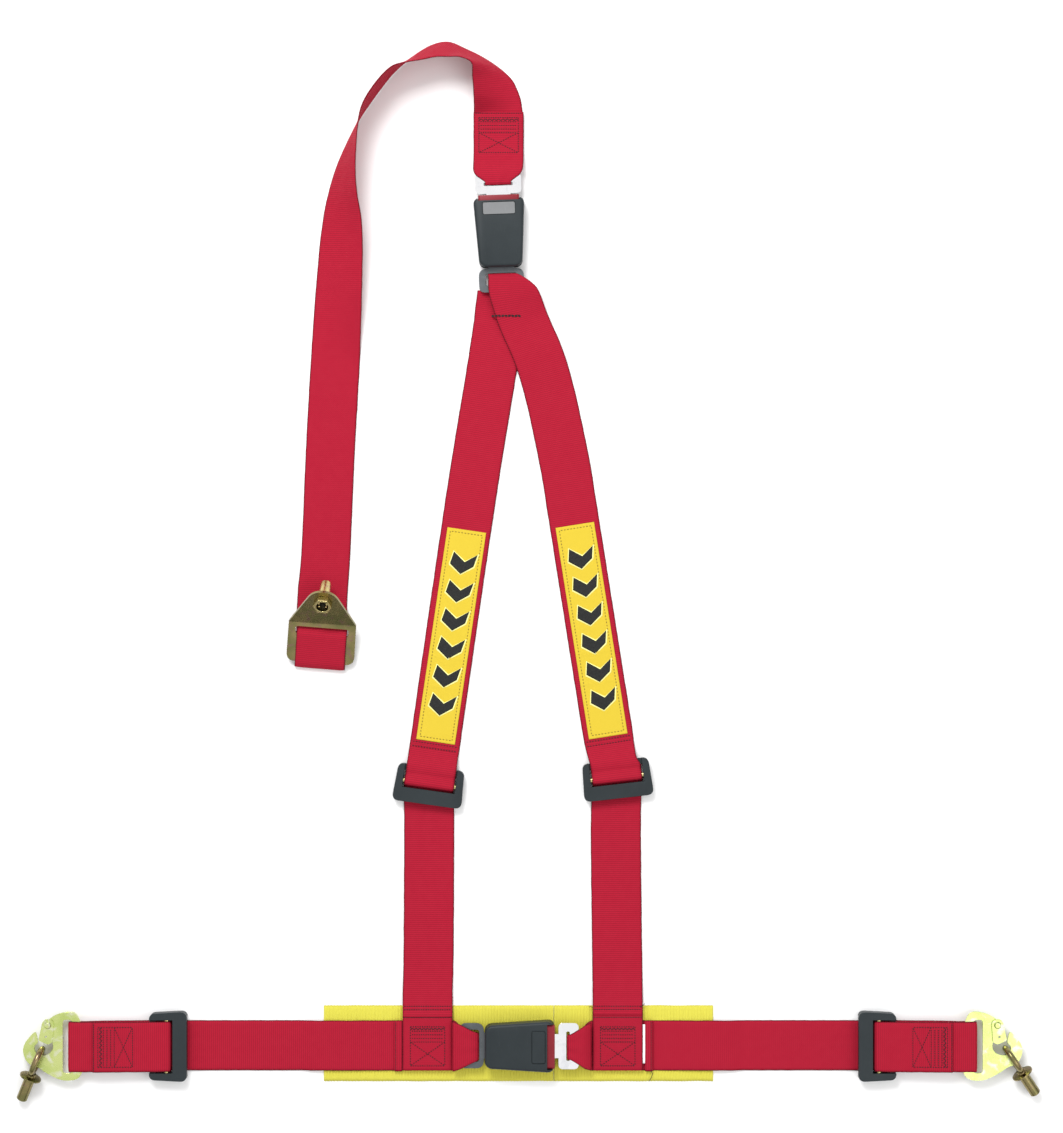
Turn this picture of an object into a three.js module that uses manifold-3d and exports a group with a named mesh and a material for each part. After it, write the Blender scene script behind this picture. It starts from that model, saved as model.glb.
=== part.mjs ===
// A two-buckle racing harness laid out flat: head tether, shoulder yoke and lap belt.
// Millimetres. +X to the wearer's left, +Y towards the head tether, +Z up from the bench.
import * as THREE from "three";
import { mergeVertices } from "three/addons/utils/BufferGeometryUtils.js";
import Module from "manifold-3d";

const wasm = await Module();
wasm.setup();

// Webbing, and the air that is left between touching layers.
const WEB_WIDTH = 50;
const WEB_THICK = 1.6;
const PAD_WIDTH = 75;
const PAD_THICK = 2.4;
const GAP = 0.4;
const HALF = WEB_THICK / 2;
const FLOOR_LAYER = 0.3 + HALF;
const SECOND_LAYER = FLOOR_LAYER + WEB_THICK + GAP;
const OVER_PAD = PAD_THICK + GAP + HALF;

// Where the sub-assemblies lie.
const TOP_BUCKLE = { x: -28, y: 334.5, z: 0, turn: 2 };
const LAP_BUCKLE = { x: -8.5, y: -476, z: PAD_THICK + GAP, turn: -90 };
const LAP_MIDDLE_X = -5.25;
const LAP_Y = -477;
const LAP_ADJUSTER_OUT = 353.5;
const HOOK_RIVET_OUT = 472.95;
const HOOK_RIVET_UP = 21.7;
const LEFT_ADJUSTER = { x: -98.7, y: -217, turn: -8 };
const RIGHT_ADJUSTER = { x: 89, y: -210.9, turn: 6.5 };
const ANCHOR = { x: -207.5, y: -94, z: 4.4, turn: -4.6, tilt: 14 };

// Three-bar adjuster: u runs from its narrow bar to its wide bar.
const ADJUSTER = {
  long: 37.5,
  wide: 70,
  opening: 53,
  narrowBar: 6,
  wideBarStart: 4.6,
  armHeight: 11,
  narrowBarTop: 7,
  barUnderside: 3.4,
  slideU: -1.8,
  slideZ: 5.2,
  slideRadius: 3,
  slideLength: 62,
};
const LAP_ADJUSTER_LIFT = 2.2;

// Push-button buckle: its own y runs from the steel loop to the tongue.
const CASE = { half: 34.5, tongueEnd: 25.5, loopEnd: 21.5, height: 20, split: 10, wall: 2.2 };
const LOOP = { under: 5, thick: 3, half: 22.5, neck: 13, start: -35.5, end: -59, bar: 6.5 };
const TONGUE = {
  under: 8.4,
  thick: 2.4,
  half: 23,
  neck: 12,
  start: 38.8,
  slotStart: 46.7,
  slotEnd: 50.1,
  barAt: 50.6,
  end: 59,
};

// Snap hook and eye bolt.
const HOOK_UNDER = 9;
const HOOK_THICK = 3;
const EYE = { ring: 13.4, wire: 3, height: 16.7, dip: 12, collar: 11, shank: 5.4, length: 44 };

const FINISH = {
  webbing: { color: 0xc41f3b, roughness: 0.85, metalness: 0 },
  pad: { color: 0xeee85f, roughness: 0.8, metalness: 0 },
  patch: { color: 0xf5de40, roughness: 0.75, metalness: 0 },
  plastic: { color: 0x30383c, roughness: 0.55, metalness: 0 },
  button: { color: 0x9b2332, roughness: 0.4, metalness: 0 },
  insert: { color: 0x85898a, roughness: 0.25, metalness: 0.3 },
  chrome: { color: 0xe6e8ea, roughness: 0.12, metalness: 1 },
  steel: { color: 0x5a6064, roughness: 0.4, metalness: 1 },
  zinc: { color: 0xd7de9a, roughness: 0.35, metalness: 0.9 },
  bronze: { color: 0x6e5a32, roughness: 0.4, metalness: 0.9 },
};

const rad = THREE.MathUtils.degToRad;
const harness = new THREE.Group();

function place(name, geometry, finish, parent = harness) {
  const mesh = new THREE.Mesh(geometry, new THREE.MeshStandardMaterial(FINISH[finish]));
  mesh.name = name;
  parent.add(mesh);
  return mesh;
}

// Solid modelling helpers.
function solid(geometry) {
  const bare = geometry.clone();
  bare.deleteAttribute("normal");
  bare.deleteAttribute("uv");
  const joined = mergeVertices(bare, 1e-4);
  return new wasm.Manifold(
    new wasm.Mesh({
      numProp: 3,
      vertProperties: new Float32Array(joined.attributes.position.array),
      triVerts: new Uint32Array(joined.index.array),
    }),
  );
}

function geometryOf(body) {
  const mesh = body.getMesh();
  const geometry = new THREE.BufferGeometry();
  geometry.setAttribute("position", new THREE.BufferAttribute(mesh.vertProperties, 3));
  geometry.setIndex(new THREE.BufferAttribute(mesh.triVerts, 1));
  return geometry;
}

function block(x0, x1, y0, y1, z0, z1) {
  const box = new THREE.BoxGeometry(x1 - x0, y1 - y0, z1 - z0);
  return solid(box.translate((x0 + x1) / 2, (y0 + y1) / 2, (z0 + z1) / 2));
}

function slab(outline, z0, z1) {
  const shape = outline instanceof THREE.Shape ? outline : rounded(outline);
  const body = new THREE.ExtrudeGeometry(shape, { depth: z1 - z0, bevelEnabled: false, curveSegments: 8 });
  return solid(body.translate(0, 0, z0));
}

function cylinder(radius, from, to, sides = 24) {
  const rod = new THREE.CylinderGeometry(radius, radius, from.distanceTo(to), sides);
  const turn = new THREE.Quaternion().setFromUnitVectors(
    new THREE.Vector3(0, 1, 0),
    to.clone().sub(from).normalize(),
  );
  rod.applyQuaternion(turn);
  return rod.translate(...from.clone().add(to).multiplyScalar(0.5).toArray());
}

// A closed outline of straight sides whose corners are rounded by the given radii.
function rounded(corners) {
  const shape = new THREE.Shape();
  const count = corners.length;
  corners.forEach(([x, y, radius = 0], i) => {
    const at = new THREE.Vector2(x, y);
    const before = new THREE.Vector2(...corners[(i + count - 1) % count].slice(0, 2));
    const after = new THREE.Vector2(...corners[(i + 1) % count].slice(0, 2));
    const start = at.clone().add(before.sub(at).setLength(radius));
    const end = at.clone().add(after.sub(at).setLength(radius));
    if (i === 0) shape.moveTo(start.x, start.y);
    else shape.lineTo(start.x, start.y);
    if (radius > 0) shape.quadraticCurveTo(x, y, end.x, end.y);
  });
  shape.closePath();
  return shape;
}

function rectangle(x0, x1, y0, y1, radius) {
  return rounded([
    [x0, y0, radius],
    [x1, y0, radius],
    [x1, y1, radius],
    [x0, y1, radius],
  ]);
}

// Webbing: a closed ribbon through stations that each give its two edges.
function edges([x, y, z, width = WEB_WIDTH, turn = 0]) {
  const across = new THREE.Vector3(Math.cos(rad(turn)), Math.sin(rad(turn)), 0).multiplyScalar(width / 2);
  const middle = new THREE.Vector3(x, y, z);
  return [middle.clone().add(across), middle.clone().sub(across)];
}

function ribbon(stations, thickness = WEB_THICK) {
  const middles = stations.map(([a, b]) => a.clone().add(b).multiplyScalar(0.5));
  const corners = [];
  stations.forEach(([a, b], i) => {
    const ahead = middles[Math.min(i + 1, middles.length - 1)];
    const behind = middles[Math.max(i - 1, 0)];
    const along = ahead.clone().sub(behind);
    const up = b.clone().sub(a).cross(along).setLength(thickness / 2);
    corners.push(a.clone().add(up), b.clone().add(up), b.clone().sub(up), a.clone().sub(up));
  });
  const faces = [];
  for (let i = 0; i + 1 < stations.length; i += 1) {
    for (let side = 0; side < 4; side += 1) {
      const next = (side + 1) % 4;
      const near = [4 * i + side, 4 * i + next];
      const far = [4 * i + 4 + side, 4 * i + 4 + next];
      faces.push(near[0], near[1], far[1], near[0], far[1], far[0]);
    }
  }
  const last = 4 * (stations.length - 1);
  faces.push(0, 2, 1, 0, 3, 2, last, last + 1, last + 2, last, last + 2, last + 3);
  const geometry = new THREE.BufferGeometry().setFromPoints(corners);
  geometry.setIndex(faces);
  const closed = solid(geometry);
  return geometryOf(closed);
}

// Points of [s, z, width] on an arc in the plane of a route.
function fold(s, z, radius, fromDegrees, toDegrees, width, steps = 6) {
  const points = [];
  for (let i = 0; i <= steps; i += 1) {
    const angle = rad(fromDegrees + ((toDegrees - fromDegrees) * i) / steps);
    points.push([s + radius * Math.cos(angle), z + radius * Math.sin(angle), width]);
  }
  return points;
}

// Stations of a route that runs at one heading from an origin: s along it, z up.
function routed({ x, y, turn }, route) {
  const [dx, dy] = [Math.sin(rad(turn)), -Math.cos(rad(turn))];
  return route.map(([s, z, width = WEB_WIDTH]) => edges([x + s * dx, y + s * dy, z, width, turn]));
}

// Three-bar adjuster frame and its slide bar, both in the adjuster's own frame.
function adjusterFrame(lift) {
  const a = ADJUSTER;
  const [half, side] = [a.long / 2, a.wide / 2];
  const outer = slab(
    rounded([
      [-side + 2, half, 6],
      [side - 2, half, 6],
      [side, -half, 7],
      [-side, -half, 7],
    ]),
    0,
    a.armHeight + lift,
  );
  const inside = a.opening / 2;
  const narrowEdge = half - a.narrowBar;
  const top = a.armHeight + lift;
  const pocket = a.slideLength / 2 + 0.6;
  return geometryOf(
    outer
      .subtract(block(-inside, inside, -a.wideBarStart, narrowEdge, -1, top + 1))
      .subtract(block(-inside, inside, narrowEdge - 1, half + 1, a.narrowBarTop + lift, top + 1))
      .subtract(block(-inside, inside, narrowEdge - 1, half + 1, -1, a.barUnderside + lift - 0.2))
      .subtract(block(-30, 30, -half - 1, -a.wideBarStart + 1, -1, a.barUnderside + lift))
      .subtract(block(-pocket, pocket, -3, 7, 1.8 + lift, top - 2.2)),
  );
}

function adjuster(name, { x, y, turn }, lift) {
  const group = new THREE.Group();
  group.position.set(x, y, 0);
  group.rotation.z = rad(turn);
  harness.add(group);
  place(`${name}_frame`, adjusterFrame(lift), "plastic", group);
  const [bar, reach] = [ADJUSTER, ADJUSTER.slideLength / 2];
  const centre = [-bar.slideU, bar.slideZ + lift];
  const from = new THREE.Vector3(-reach, ...centre);
  const to = new THREE.Vector3(reach, ...centre);
  place(`${name}_bar`, cylinder(bar.slideRadius, from, to, 16), "zinc", group);
}

// Shoulder webbing goes over the narrow bar and the slide bar and under the wide bar.
const TO_NARROW_BAR = [
  [-38, FLOOR_LAYER],
  [-27, 5],
  [-19.5, 8.2],
];

function throughBars() {
  const { slideU, slideZ, slideRadius } = ADJUSTER;
  return [
    [-13, 8.3],
    [-9.6, 7.9],
    [-6.6, 8.5],
    ...fold(slideU, slideZ, slideRadius + GAP + HALF, 105, 0, WEB_WIDTH, 5),
    [2.5, 3.4],
    [3.6, 1.9],
    [6, 1.2],
  ];
}

// Push-button buckle.
function caseOutline(inset) {
  const c = CASE;
  return rounded([
    [-c.loopEnd + inset, -c.half + inset, 5],
    [c.loopEnd - inset, -c.half + inset, 5],
    [c.tongueEnd - inset, c.half - inset, 4],
    [-c.tongueEnd + inset, c.half - inset, 4],
  ]);
}

function caseCavity(z0, z1, end) {
  const c = CASE;
  const [narrow, broad] = [c.loopEnd - c.wall, c.tongueEnd - c.wall];
  return slab(
    rounded([
      [-narrow, -c.half + c.wall, 3],
      [narrow, -c.half + c.wall, 3],
      [broad, end],
      [-broad, end],
    ]),
    z0,
    z1,
  );
}

function frontCover(notch) {
  const c = CASE;
  const bevel = 3;
  const crown = new THREE.ExtrudeGeometry(caseOutline(bevel), {
    depth: c.height - 2 * bevel,
    bevelThickness: bevel,
    bevelSize: bevel,
    bevelSegments: 4,
    curveSegments: 6,
  });
  const window = rectangle(-16.5, 16.5, notch.panel, notch.start - 1.5, 2.5);
  return geometryOf(
    solid(crown.translate(0, 0, bevel))
      .subtract(block(-40, 40, -50, 50, -1, c.split + 0.2))
      .subtract(caseCavity(c.split - 1, c.height - c.wall, c.half + 5))
      .subtract(block(-notch.half, notch.half, notch.start, c.half + 5, c.split - 1, c.height + 1))
      .subtract(slab(window, c.height - 1.3, c.height + 1))
      .subtract(block(-18.6, 18.6, -c.half - 1, -c.half + 4, c.split - 1, c.split + 1.3)),
  );
}

function rearCover() {
  const c = CASE;
  const bevel = 2;
  const tray = new THREE.ExtrudeGeometry(caseOutline(bevel), {
    depth: c.height - 2 * bevel,
    bevelThickness: bevel,
    bevelSize: bevel,
    bevelSegments: 3,
    curveSegments: 6,
  });
  return geometryOf(
    solid(tray.translate(0, 0, bevel))
      .subtract(block(-40, 40, -50, 50, c.split - 0.2, c.height + 1))
      .subtract(caseCavity(2, c.split + 1, c.half - c.wall))
      .subtract(block(-18.6, 18.6, -c.half - 1, -c.half + 4, LOOP.under - 0.4, c.split))
      .subtract(block(-23, 23, c.half - 4, c.half + 1, TONGUE.under - 0.4, c.split)),
  );
}

function loopFrame() {
  const l = LOOP;
  const inner = l.half - l.bar;
  const outline = rounded([
    [-l.neck, 20, 2],
    [-l.neck, l.start],
    [-l.half, l.start, 8],
    [-l.half, l.end, 6],
    [l.half, l.end, 6],
    [l.half, l.start, 8],
    [l.neck, l.start],
    [l.neck, 20, 2],
  ]);
  outline.holes.push(rectangle(-inner, inner, l.end + l.bar, l.start - 4.5, 3));
  return geometryOf(slab(outline, l.under, l.under + l.thick));
}

function tongueGeometry() {
  const t = TONGUE;
  const outline = rounded([
    [-t.neck, 0.3, 3],
    [t.neck, 0.3, 3],
    [t.neck, t.start],
    [t.half, t.start, 5],
    [t.half, t.end, 5],
    [-t.half, t.end, 5],
    [-t.half, t.start, 5],
    [-t.neck, t.start],
  ]);
  outline.holes.push(rectangle(-14.5, 14.5, t.slotStart, t.slotEnd, 1.2));
  outline.holes.push(rectangle(-6.5, 6.5, 5, 12, 1.5));
  return geometryOf(slab(outline, t.under, t.under + t.thick));
}

function buttonGeometry(halfWidth, reach) {
  const face = new THREE.ExtrudeGeometry(rectangle(-halfWidth, halfWidth, 11.8, 17, 2), {
    depth: 13,
    bevelThickness: 1,
    bevelSize: 0.4,
    bevelSegments: 2,
    curveSegments: 4,
  });
  face.rotateX(Math.PI / 2);
  return face.translate(0, reach, 0);
}

function buckle(name, { x, y, z, turn }, notch) {
  const group = new THREE.Group();
  group.position.set(x, y, z);
  group.rotation.z = rad(turn);
  harness.add(group);
  const top = TONGUE.under + TONGUE.thick;
  place(`${name}_cover_front`, frontCover(notch), "plastic", group);
  place(`${name}_cover_rear`, rearCover(), "plastic", group);
  place(`${name}_loop_frame`, loopFrame(), "steel", group);
  place(`${name}_button`, buttonGeometry(notch.half - 0.9, notch.reach), "button", group);
  place(`${name}_tongue`, tongueGeometry(), "chrome", group);
  const panel = rectangle(-15.9, 15.9, notch.panel + 0.6, notch.start - 2.1, 2);
  const insert = slab(panel, CASE.height - 1, CASE.height - 0.2);
  place(`${name}_insert`, geometryOf(insert), notch.insert, group);
  const latch = block(-9, 9, -4, 16, top + 0.4, top + 2.4).subtract(block(-3, 3, -1, 3, 0, 20));
  place(`${name}_latch`, geometryOf(latch), "steel", group);
  place(`${name}_ejector`, geometryOf(block(-8, 8, -16, -0.2, TONGUE.under, top)), "plastic", group);
  const leaf = block(-4, 4, -24, 6, 16.4, 17.2).add(block(-4, 4, -24, -22, 11.5, 17.2));
  place(`${name}_latch_spring`, geometryOf(leaf), "steel", group);
}

// Head tether: flat at the tongue, on edge round the bend, flat again to the anchor plate.
// Each row is the floor edge and the lifted edge seen from above.
const TETHER_BEND = [
  [-5, 452, -54, 452],
  [-8, 471, -54, 470],
  [-16, 488, -55, 487],
  [-29, 500, -56, 499],
  [-44, 510, -67, 504],
  [-62, 519, -77, 504],
  [-80, 526, -91, 504],
  [-98, 522, -106, 501],
  [-118, 509, -120, 498],
  [-133, 496, -134, 494],
  [-147, 479, -150, 478],
  [-160, 461, -163, 457],
  [-170, 446, -167, 440],
  [-181, 425, -169, 418],
  [-191, 402, -170, 396],
  [-198, 380, -169, 373],
  [-204, 353, -165, 347],
  [-208, 323, -164, 320],
  [-212, 278, -165, 277],
  [-217, 208, -168, 208],
  [-222, 118, -173, 118],
  [-227, 8, -178, 8],
];

function tetherBend(steps = 2) {
  const floor = [];
  const lifted = [];
  TETHER_BEND.forEach(([ax, ay, bx, by]) => {
    const spread = Math.hypot(ax - bx, ay - by);
    const rise = Math.sqrt(Math.max(WEB_WIDTH ** 2 - spread ** 2, 0));
    const settled = spread > 48 ? 0 : rise;
    floor.push(new THREE.Vector3(ax, ay, FLOOR_LAYER));
    lifted.push(new THREE.Vector3(bx, by, FLOOR_LAYER + settled));
  });
  const smooth = (points) => new THREE.CatmullRomCurve3(points, false, "catmullrom", 0.5);
  const curves = [floor, lifted].map(smooth);
  const count = steps * (TETHER_BEND.length - 1);
  const stations = [];
  for (let i = 0; i <= count; i += 1) {
    const pair = curves.map((curve) => curve.getPoint(i / count));
    pair.forEach((point) => {
      point.z = Math.max(point.z, FLOOR_LAYER);
    });
    stations.push(pair);
  }
  return stations;
}

// A point beside the anchor plate: s up the plate from its lower edge, h above its underside.
function besidePlate(s, h) {
  const { x, y, z, turn, tilt } = ANCHOR;
  const run = s * Math.cos(rad(tilt)) - h * Math.sin(rad(tilt));
  const height = z + s * Math.sin(rad(tilt)) + h * Math.cos(rad(tilt));
  return [x - run * Math.sin(rad(turn)), y + run * Math.cos(rad(turn)), height, WEB_WIDTH, turn];
}

function tether() {
  const t = TOP_BUCKLE;
  const barY = t.y + TONGUE.barAt;
  const barZ = TONGUE.under + TONGUE.thick / 2;
  const radius = TONGUE.thick / 2 + GAP + HALF;
  const stations = [
    [-29.3, 455.6, SECOND_LAYER],
    [-29.3, 425, SECOND_LAYER],
    [-29.3, 414, 4.4],
    [-29.5, 405, 8.8],
    [-29.8, 396.5, 12.2, 49, t.turn],
    [-29.8, 392.5, 12.6, 45, t.turn],
    [-29.9, 388.3, 12.4, 34, t.turn],
    ...fold(barY, barZ, radius, 90, 270, 26).map(([y, z, w]) => [-29.9, y, z, w, t.turn]),
    [-29.8, 393, 6.6, 42, t.turn],
    [-29.5, 404, 3, 50],
    [-29.3, 412, FLOOR_LAYER],
    [-29.4, 436, FLOOR_LAYER],
  ].map(edges);
  stations.push(...tetherBend());
  const flat = [
    [-205, -22, FLOOR_LAYER + 0.2, WEB_WIDTH, -1],
    [-206.5, -55, FLOOR_LAYER + 0.5, WEB_WIDTH, -3],
  ];
  const wrap = [
    [-1.5, -2.4],
    [-4.6, -1.6],
    [-5.9, 0.1],
    [-5.2, 2],
    [-2.8, 3.7],
    [0.8, 4.5],
    [5, 4.6],
  ].map(([s, h]) => besidePlate(s, h));
  const through = [
    [25, 4.5],
    [29.5, 4.2],
    [31.6, 2.6],
    [33.4, -0.5],
    [35.5, -3.5],
    [40, -7.5],
  ].map(([s, h]) => besidePlate(s, h));
  const tail = [[-205.6, -38, SECOND_LAYER + 0.9, WEB_WIDTH, -2]];
  // The bend turns the strap half round, so past it the two edges change places.
  const past = [...flat, besidePlate(8, -1.5), ...wrap, ...through, ...tail].map(edges);
  stations.push(...past.map(([a, b]) => [b, a]));
  return ribbon(stations);
}

// Anchor plate, bent above its slot, with the bolt through the upper half.
const ANCHOR_BEND = 26;
const ANCHOR_BEND_AT = 41;
const ANCHOR_HOLE_UP = 29;

function anchorPlate() {
  const lower = slab(
    rounded([
      [-34, 0, 9],
      [34, 0, 9],
      [33.5, ANCHOR_BEND_AT + 0.6],
      [-33.5, ANCHOR_BEND_AT + 0.6],
    ]),
    0,
    3,
  ).subtract(slab(rectangle(-26.5, 26.5, 29, 36.5, 3), -5, 8));
  const upper = slab(
    rounded([
      [-33.5, -0.6],
      [33.5, -0.6],
      [33, 2, 1],
      [10, 42, 9.8],
      [-10, 42, 9.8],
      [-33, 2, 1],
    ]),
    0,
    3,
  ).subtract(
    solid(cylinder(5.8, new THREE.Vector3(0, ANCHOR_HOLE_UP, -5), new THREE.Vector3(0, ANCHOR_HOLE_UP, 8))),
  );
  return geometryOf(lower.add(upper.rotate([ANCHOR_BEND, 0, 0]).translate([0, ANCHOR_BEND_AT, 0])));
}

function anchorBolt() {
  const at = (z) => new THREE.Vector3(0, 0, z);
  const head = solid(cylinder(9.2, at(3.3), at(10), 6).rotateZ(Math.PI / 6));
  const recess = solid(cylinder(6.1, at(6.2), at(12), 20));
  return geometryOf(head.subtract(recess).add(solid(cylinder(5.4, at(-25.4), at(4)))));
}

function anchor() {
  const group = new THREE.Group();
  group.position.set(ANCHOR.x, ANCHOR.y, ANCHOR.z);
  group.rotation.set(rad(ANCHOR.tilt), 0, rad(ANCHOR.turn), "ZYX");
  harness.add(group);
  place("anchor_plate", anchorPlate(), "bronze", group);
  const bolt = place("anchor_bolt", anchorBolt(), "zinc", group);
  const bend = rad(ANCHOR_BEND);
  bolt.position.set(0, ANCHOR_BEND_AT + ANCHOR_HOLE_UP * Math.cos(bend), ANCHOR_HOLE_UP * Math.sin(bend));
  bolt.rotation.x = bend;
}

// Shoulder straps: the left one starts under the loop, the right one wraps it.
function leftShoulderStrap() {
  const stations = [
    [-29.4, 276.5, 1.9, 42, -3],
    [-28.4, 268, 1.4, 46, -5],
    [-28.1, 256, FLOOR_LAYER, WEB_WIDTH, -8],
    [-57.4, 68, FLOOR_LAYER, WEB_WIDTH, -8.4],
  ].map(edges);
  stations.push(...routed(LEFT_ADJUSTER, [...TO_NARROW_BAR, ...throughBars()]));
  stations.push(edges([-98.9, -240, FLOOR_LAYER, WEB_WIDTH, -2]), edges([-99.6, -400, FLOOR_LAYER]));
  stations.push(edges([-100, -425, 2.4]), edges([-100.2, -436, OVER_PAD]), edges([-100.2, -443.6, 5.2]));
  return ribbon(stations);
}

function rightShoulderStrap() {
  const stations = [
    [-26.4, 282, 2.6, 27, 2],
    [-26.3, 289.5, 2.6, 27, 2],
    [-26.2, 292.6, 4.2, 27, 2],
    [-26, 293.3, 6.6, 27, 2],
    [-25.3, 292.9, 9.6, 29.5, 2],
    [-22.8, 291, 10.8, 33.5, 1],
    [-18.9, 286.5, 11.2, 41, 0],
    [-15.6, 279.5, 10.8, 48, 2],
    [-12.8, 271, 9.4, WEB_WIDTH, 7],
    [-9.4, 261, 7, WEB_WIDTH, 12],
    [-4.5, 247, 4.4, WEB_WIDTH, 17],
    [11, 211, SECOND_LAYER, WEB_WIDTH, 16.7],
    [21.5, 176, FLOOR_LAYER, WEB_WIDTH, 14],
    [30, 138, FLOOR_LAYER, WEB_WIDTH, 11.5],
    [38, 98, FLOOR_LAYER, WEB_WIDTH, 9.6],
    [42.8, 68, FLOOR_LAYER, WEB_WIDTH, 9],
    [79, -160, FLOOR_LAYER, WEB_WIDTH, 8.4],
    [81.6, -176, 1.6, 49, 8.6],
    [83.3, -185, 5, 48, 8.4],
    [85, -191.8, 8.2, 47, 7.6],
  ].map(edges);
  stations.push(...routed(RIGHT_ADJUSTER, throughBars()));
  stations.push(edges([88.2, -234, FLOOR_LAYER, WEB_WIDTH, 2]), edges([89.3, -400, FLOOR_LAYER]));
  stations.push(edges([89.5, -423, 2.4]), edges([89.6, -434, OVER_PAD]), edges([89.6, -441.6, 5.2]));
  return ribbon(stations);
}

function strapEnd(x, from, to) {
  const layer = OVER_PAD + WEB_THICK + GAP;
  return ribbon([edges([x, from, layer]), edges([x, to, layer])]);
}

// Lap belt half: sewn flap round the slide bar, back through the hook, then under everything.
function lapBelt(side, inner) {
  const { slideU, slideZ, slideRadius } = ADJUSTER;
  const lift = LAP_ADJUSTER_LIFT;
  const around = fold(slideU, slideZ + lift, slideRadius + GAP + HALF, 90, -90, WEB_WIDTH);
  const hook = fold(-96.05, HOOK_UNDER + 1.5, 1.5 + GAP + HALF, 90, 270, WEB_WIDTH);
  const route = [
    [-74.5, 15.3],
    [-50, 14.4],
    [-24, 13],
    [-19, 12.4],
    [-9, 12.4],
    ...around,
    [-5.5, 3.2],
    [-11.2, 10.3],
    [-19, 10.4],
    [-24, 11],
    [-50, 12.4],
    [-74.5, 13.2],
    ...hook,
    [-85.7, 7.8],
    [-60, 3.6],
    [-35, FLOOR_LAYER],
    [130, FLOOR_LAYER],
    [150, OVER_PAD],
  ];
  const stations = route.map(([u, z, w]) => [LAP_ADJUSTER_OUT - u, z, w]);
  stations.push(...inner);
  return ribbon(
    stations.map(([out, z, width = WEB_WIDTH]) => edges([LAP_MIDDLE_X + side * out, LAP_Y, z, width, 90])),
  );
}

// The inner end of each half, as distances from the middle of the lap belt.
function endAtLoop() {
  const z = LAP_BUCKLE.z + LOOP.under + LOOP.thick / 2;
  const r = LOOP.thick / 2 + GAP + HALF;
  return [
    [68.2, OVER_PAD],
    [61, z - r, 36],
    [52, z - r - 0.8, 28],
    [46.4, z - r - 0.2, 27],
    [44.6, z - 0.9, 27],
    [44.5, z + 1.2, 27],
    [46.2, z + r + 0.2, 29],
    [50, z + r + 1.2, 32],
    [57, z + r + 1.2, 39],
    [64, z + r + 0.4, 46],
    [69.8, z + 1, 50],
  ];
}

function endAtTongue() {
  const z = LAP_BUCKLE.z + TONGUE.under + TONGUE.thick / 2;
  const r = TONGUE.thick / 2 + GAP + HALF;
  const bar = LAP_BUCKLE.x + TONGUE.barAt - LAP_MIDDLE_X;
  return [
    [68.4, OVER_PAD],
    [58, z - r, 33],
    ...fold(bar, z, r, 270, 90, 25),
    [56, z + r + 0.3, 35],
    [62, z + r - 0.8, 43],
    [68, 10, 48],
  ];
}

// Snap hook: plate, sprung keeper on a rivet, and an eye bolt held in its jaw.
const HOOK_OUTLINE = [
  [0.9, 5.8],
  [6, 9.3],
  [14.2, 12.3],
  [23.9, 13.3],
  [28.5, 10.6],
  [32.2, 2.9],
  [34.4, -6.7],
  [34.6, -36.7],
  [33.6, -47.5],
  [29, -53.7],
  [14.9, -55.1],
  [3.5, -50.7],
  [-4.2, -46.2],
  [-11.2, -41.6],
  [-16, -40.2],
  [-20.4, -37],
  [-23.6, -31.5],
  [-24.9, -24.5],
  [-23, -18.2],
  [-18.8, -12.4],
  [-12.8, -7],
  [-10.6, -13.1],
  [-10.2, -17.5],
  [-13.4, -21.3],
  [-12, -27.7],
  [-7.4, -30],
  [0.2, -28.7],
  [4.7, -23.7],
  [4.2, -17],
  [0, -12],
  [-5.5, -5],
  [-5.2, 2.5],
];

function hookPlate() {
  const through = HOOK_OUTLINE.map(([x, y]) => new THREE.Vector3(x, y, 0));
  const curve = new THREE.CatmullRomCurve3(through, true, "centripetal");
  const outline = new THREE.Shape(curve.getPoints(96).slice(1));
  return geometryOf(
    slab(outline, HOOK_UNDER, HOOK_UNDER + HOOK_THICK)
      .subtract(slab(rectangle(14.6, 23.9, -48, 5.3, 3.5), 0, 20))
      .subtract(solid(cylinder(1.9, new THREE.Vector3(0, 0, 0), new THREE.Vector3(0, 0, 20), 16))),
  );
}

function keeper() {
  const pin = (z) => new THREE.Vector3(-1.8, -11.5, z);
  const z0 = HOOK_UNDER + HOOK_THICK + 0.3;
  const outline = rounded([
    [-5.4, 3, 2],
    [-2.5, 6.2, 2],
    [3.5, 6, 2],
    [6, 2, 2],
    [4.6, -17.2, 2],
    [0, -19.2, 1.5],
    [-9.3, -15, 1.5],
  ]);
  return geometryOf(
    slab(outline, z0, z0 + 1.6)
      .subtract(solid(cylinder(1.9, new THREE.Vector3(0, 0, 0), new THREE.Vector3(0, 0, 20), 16)))
      .subtract(solid(cylinder(1.1, pin(0), pin(20), 12))),
  );
}

function rivet() {
  const [low, high] = [HOOK_UNDER - 0.3, HOOK_UNDER + HOOK_THICK + 2.2];
  const profile = [
    [0, low - 1.2],
    [2.8, low - 1.2],
    [3.4, low - 0.4],
    [3.4, low],
    [1.6, low],
    [1.6, high],
    [3.5, high],
    [3.5, high + 0.5],
    [2.6, high + 1.4],
    [0, high + 1.4],
  ].map(([x, y]) => new THREE.Vector2(x, y));
  return new THREE.LatheGeometry(profile, 20).rotateX(Math.PI / 2);
}

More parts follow.
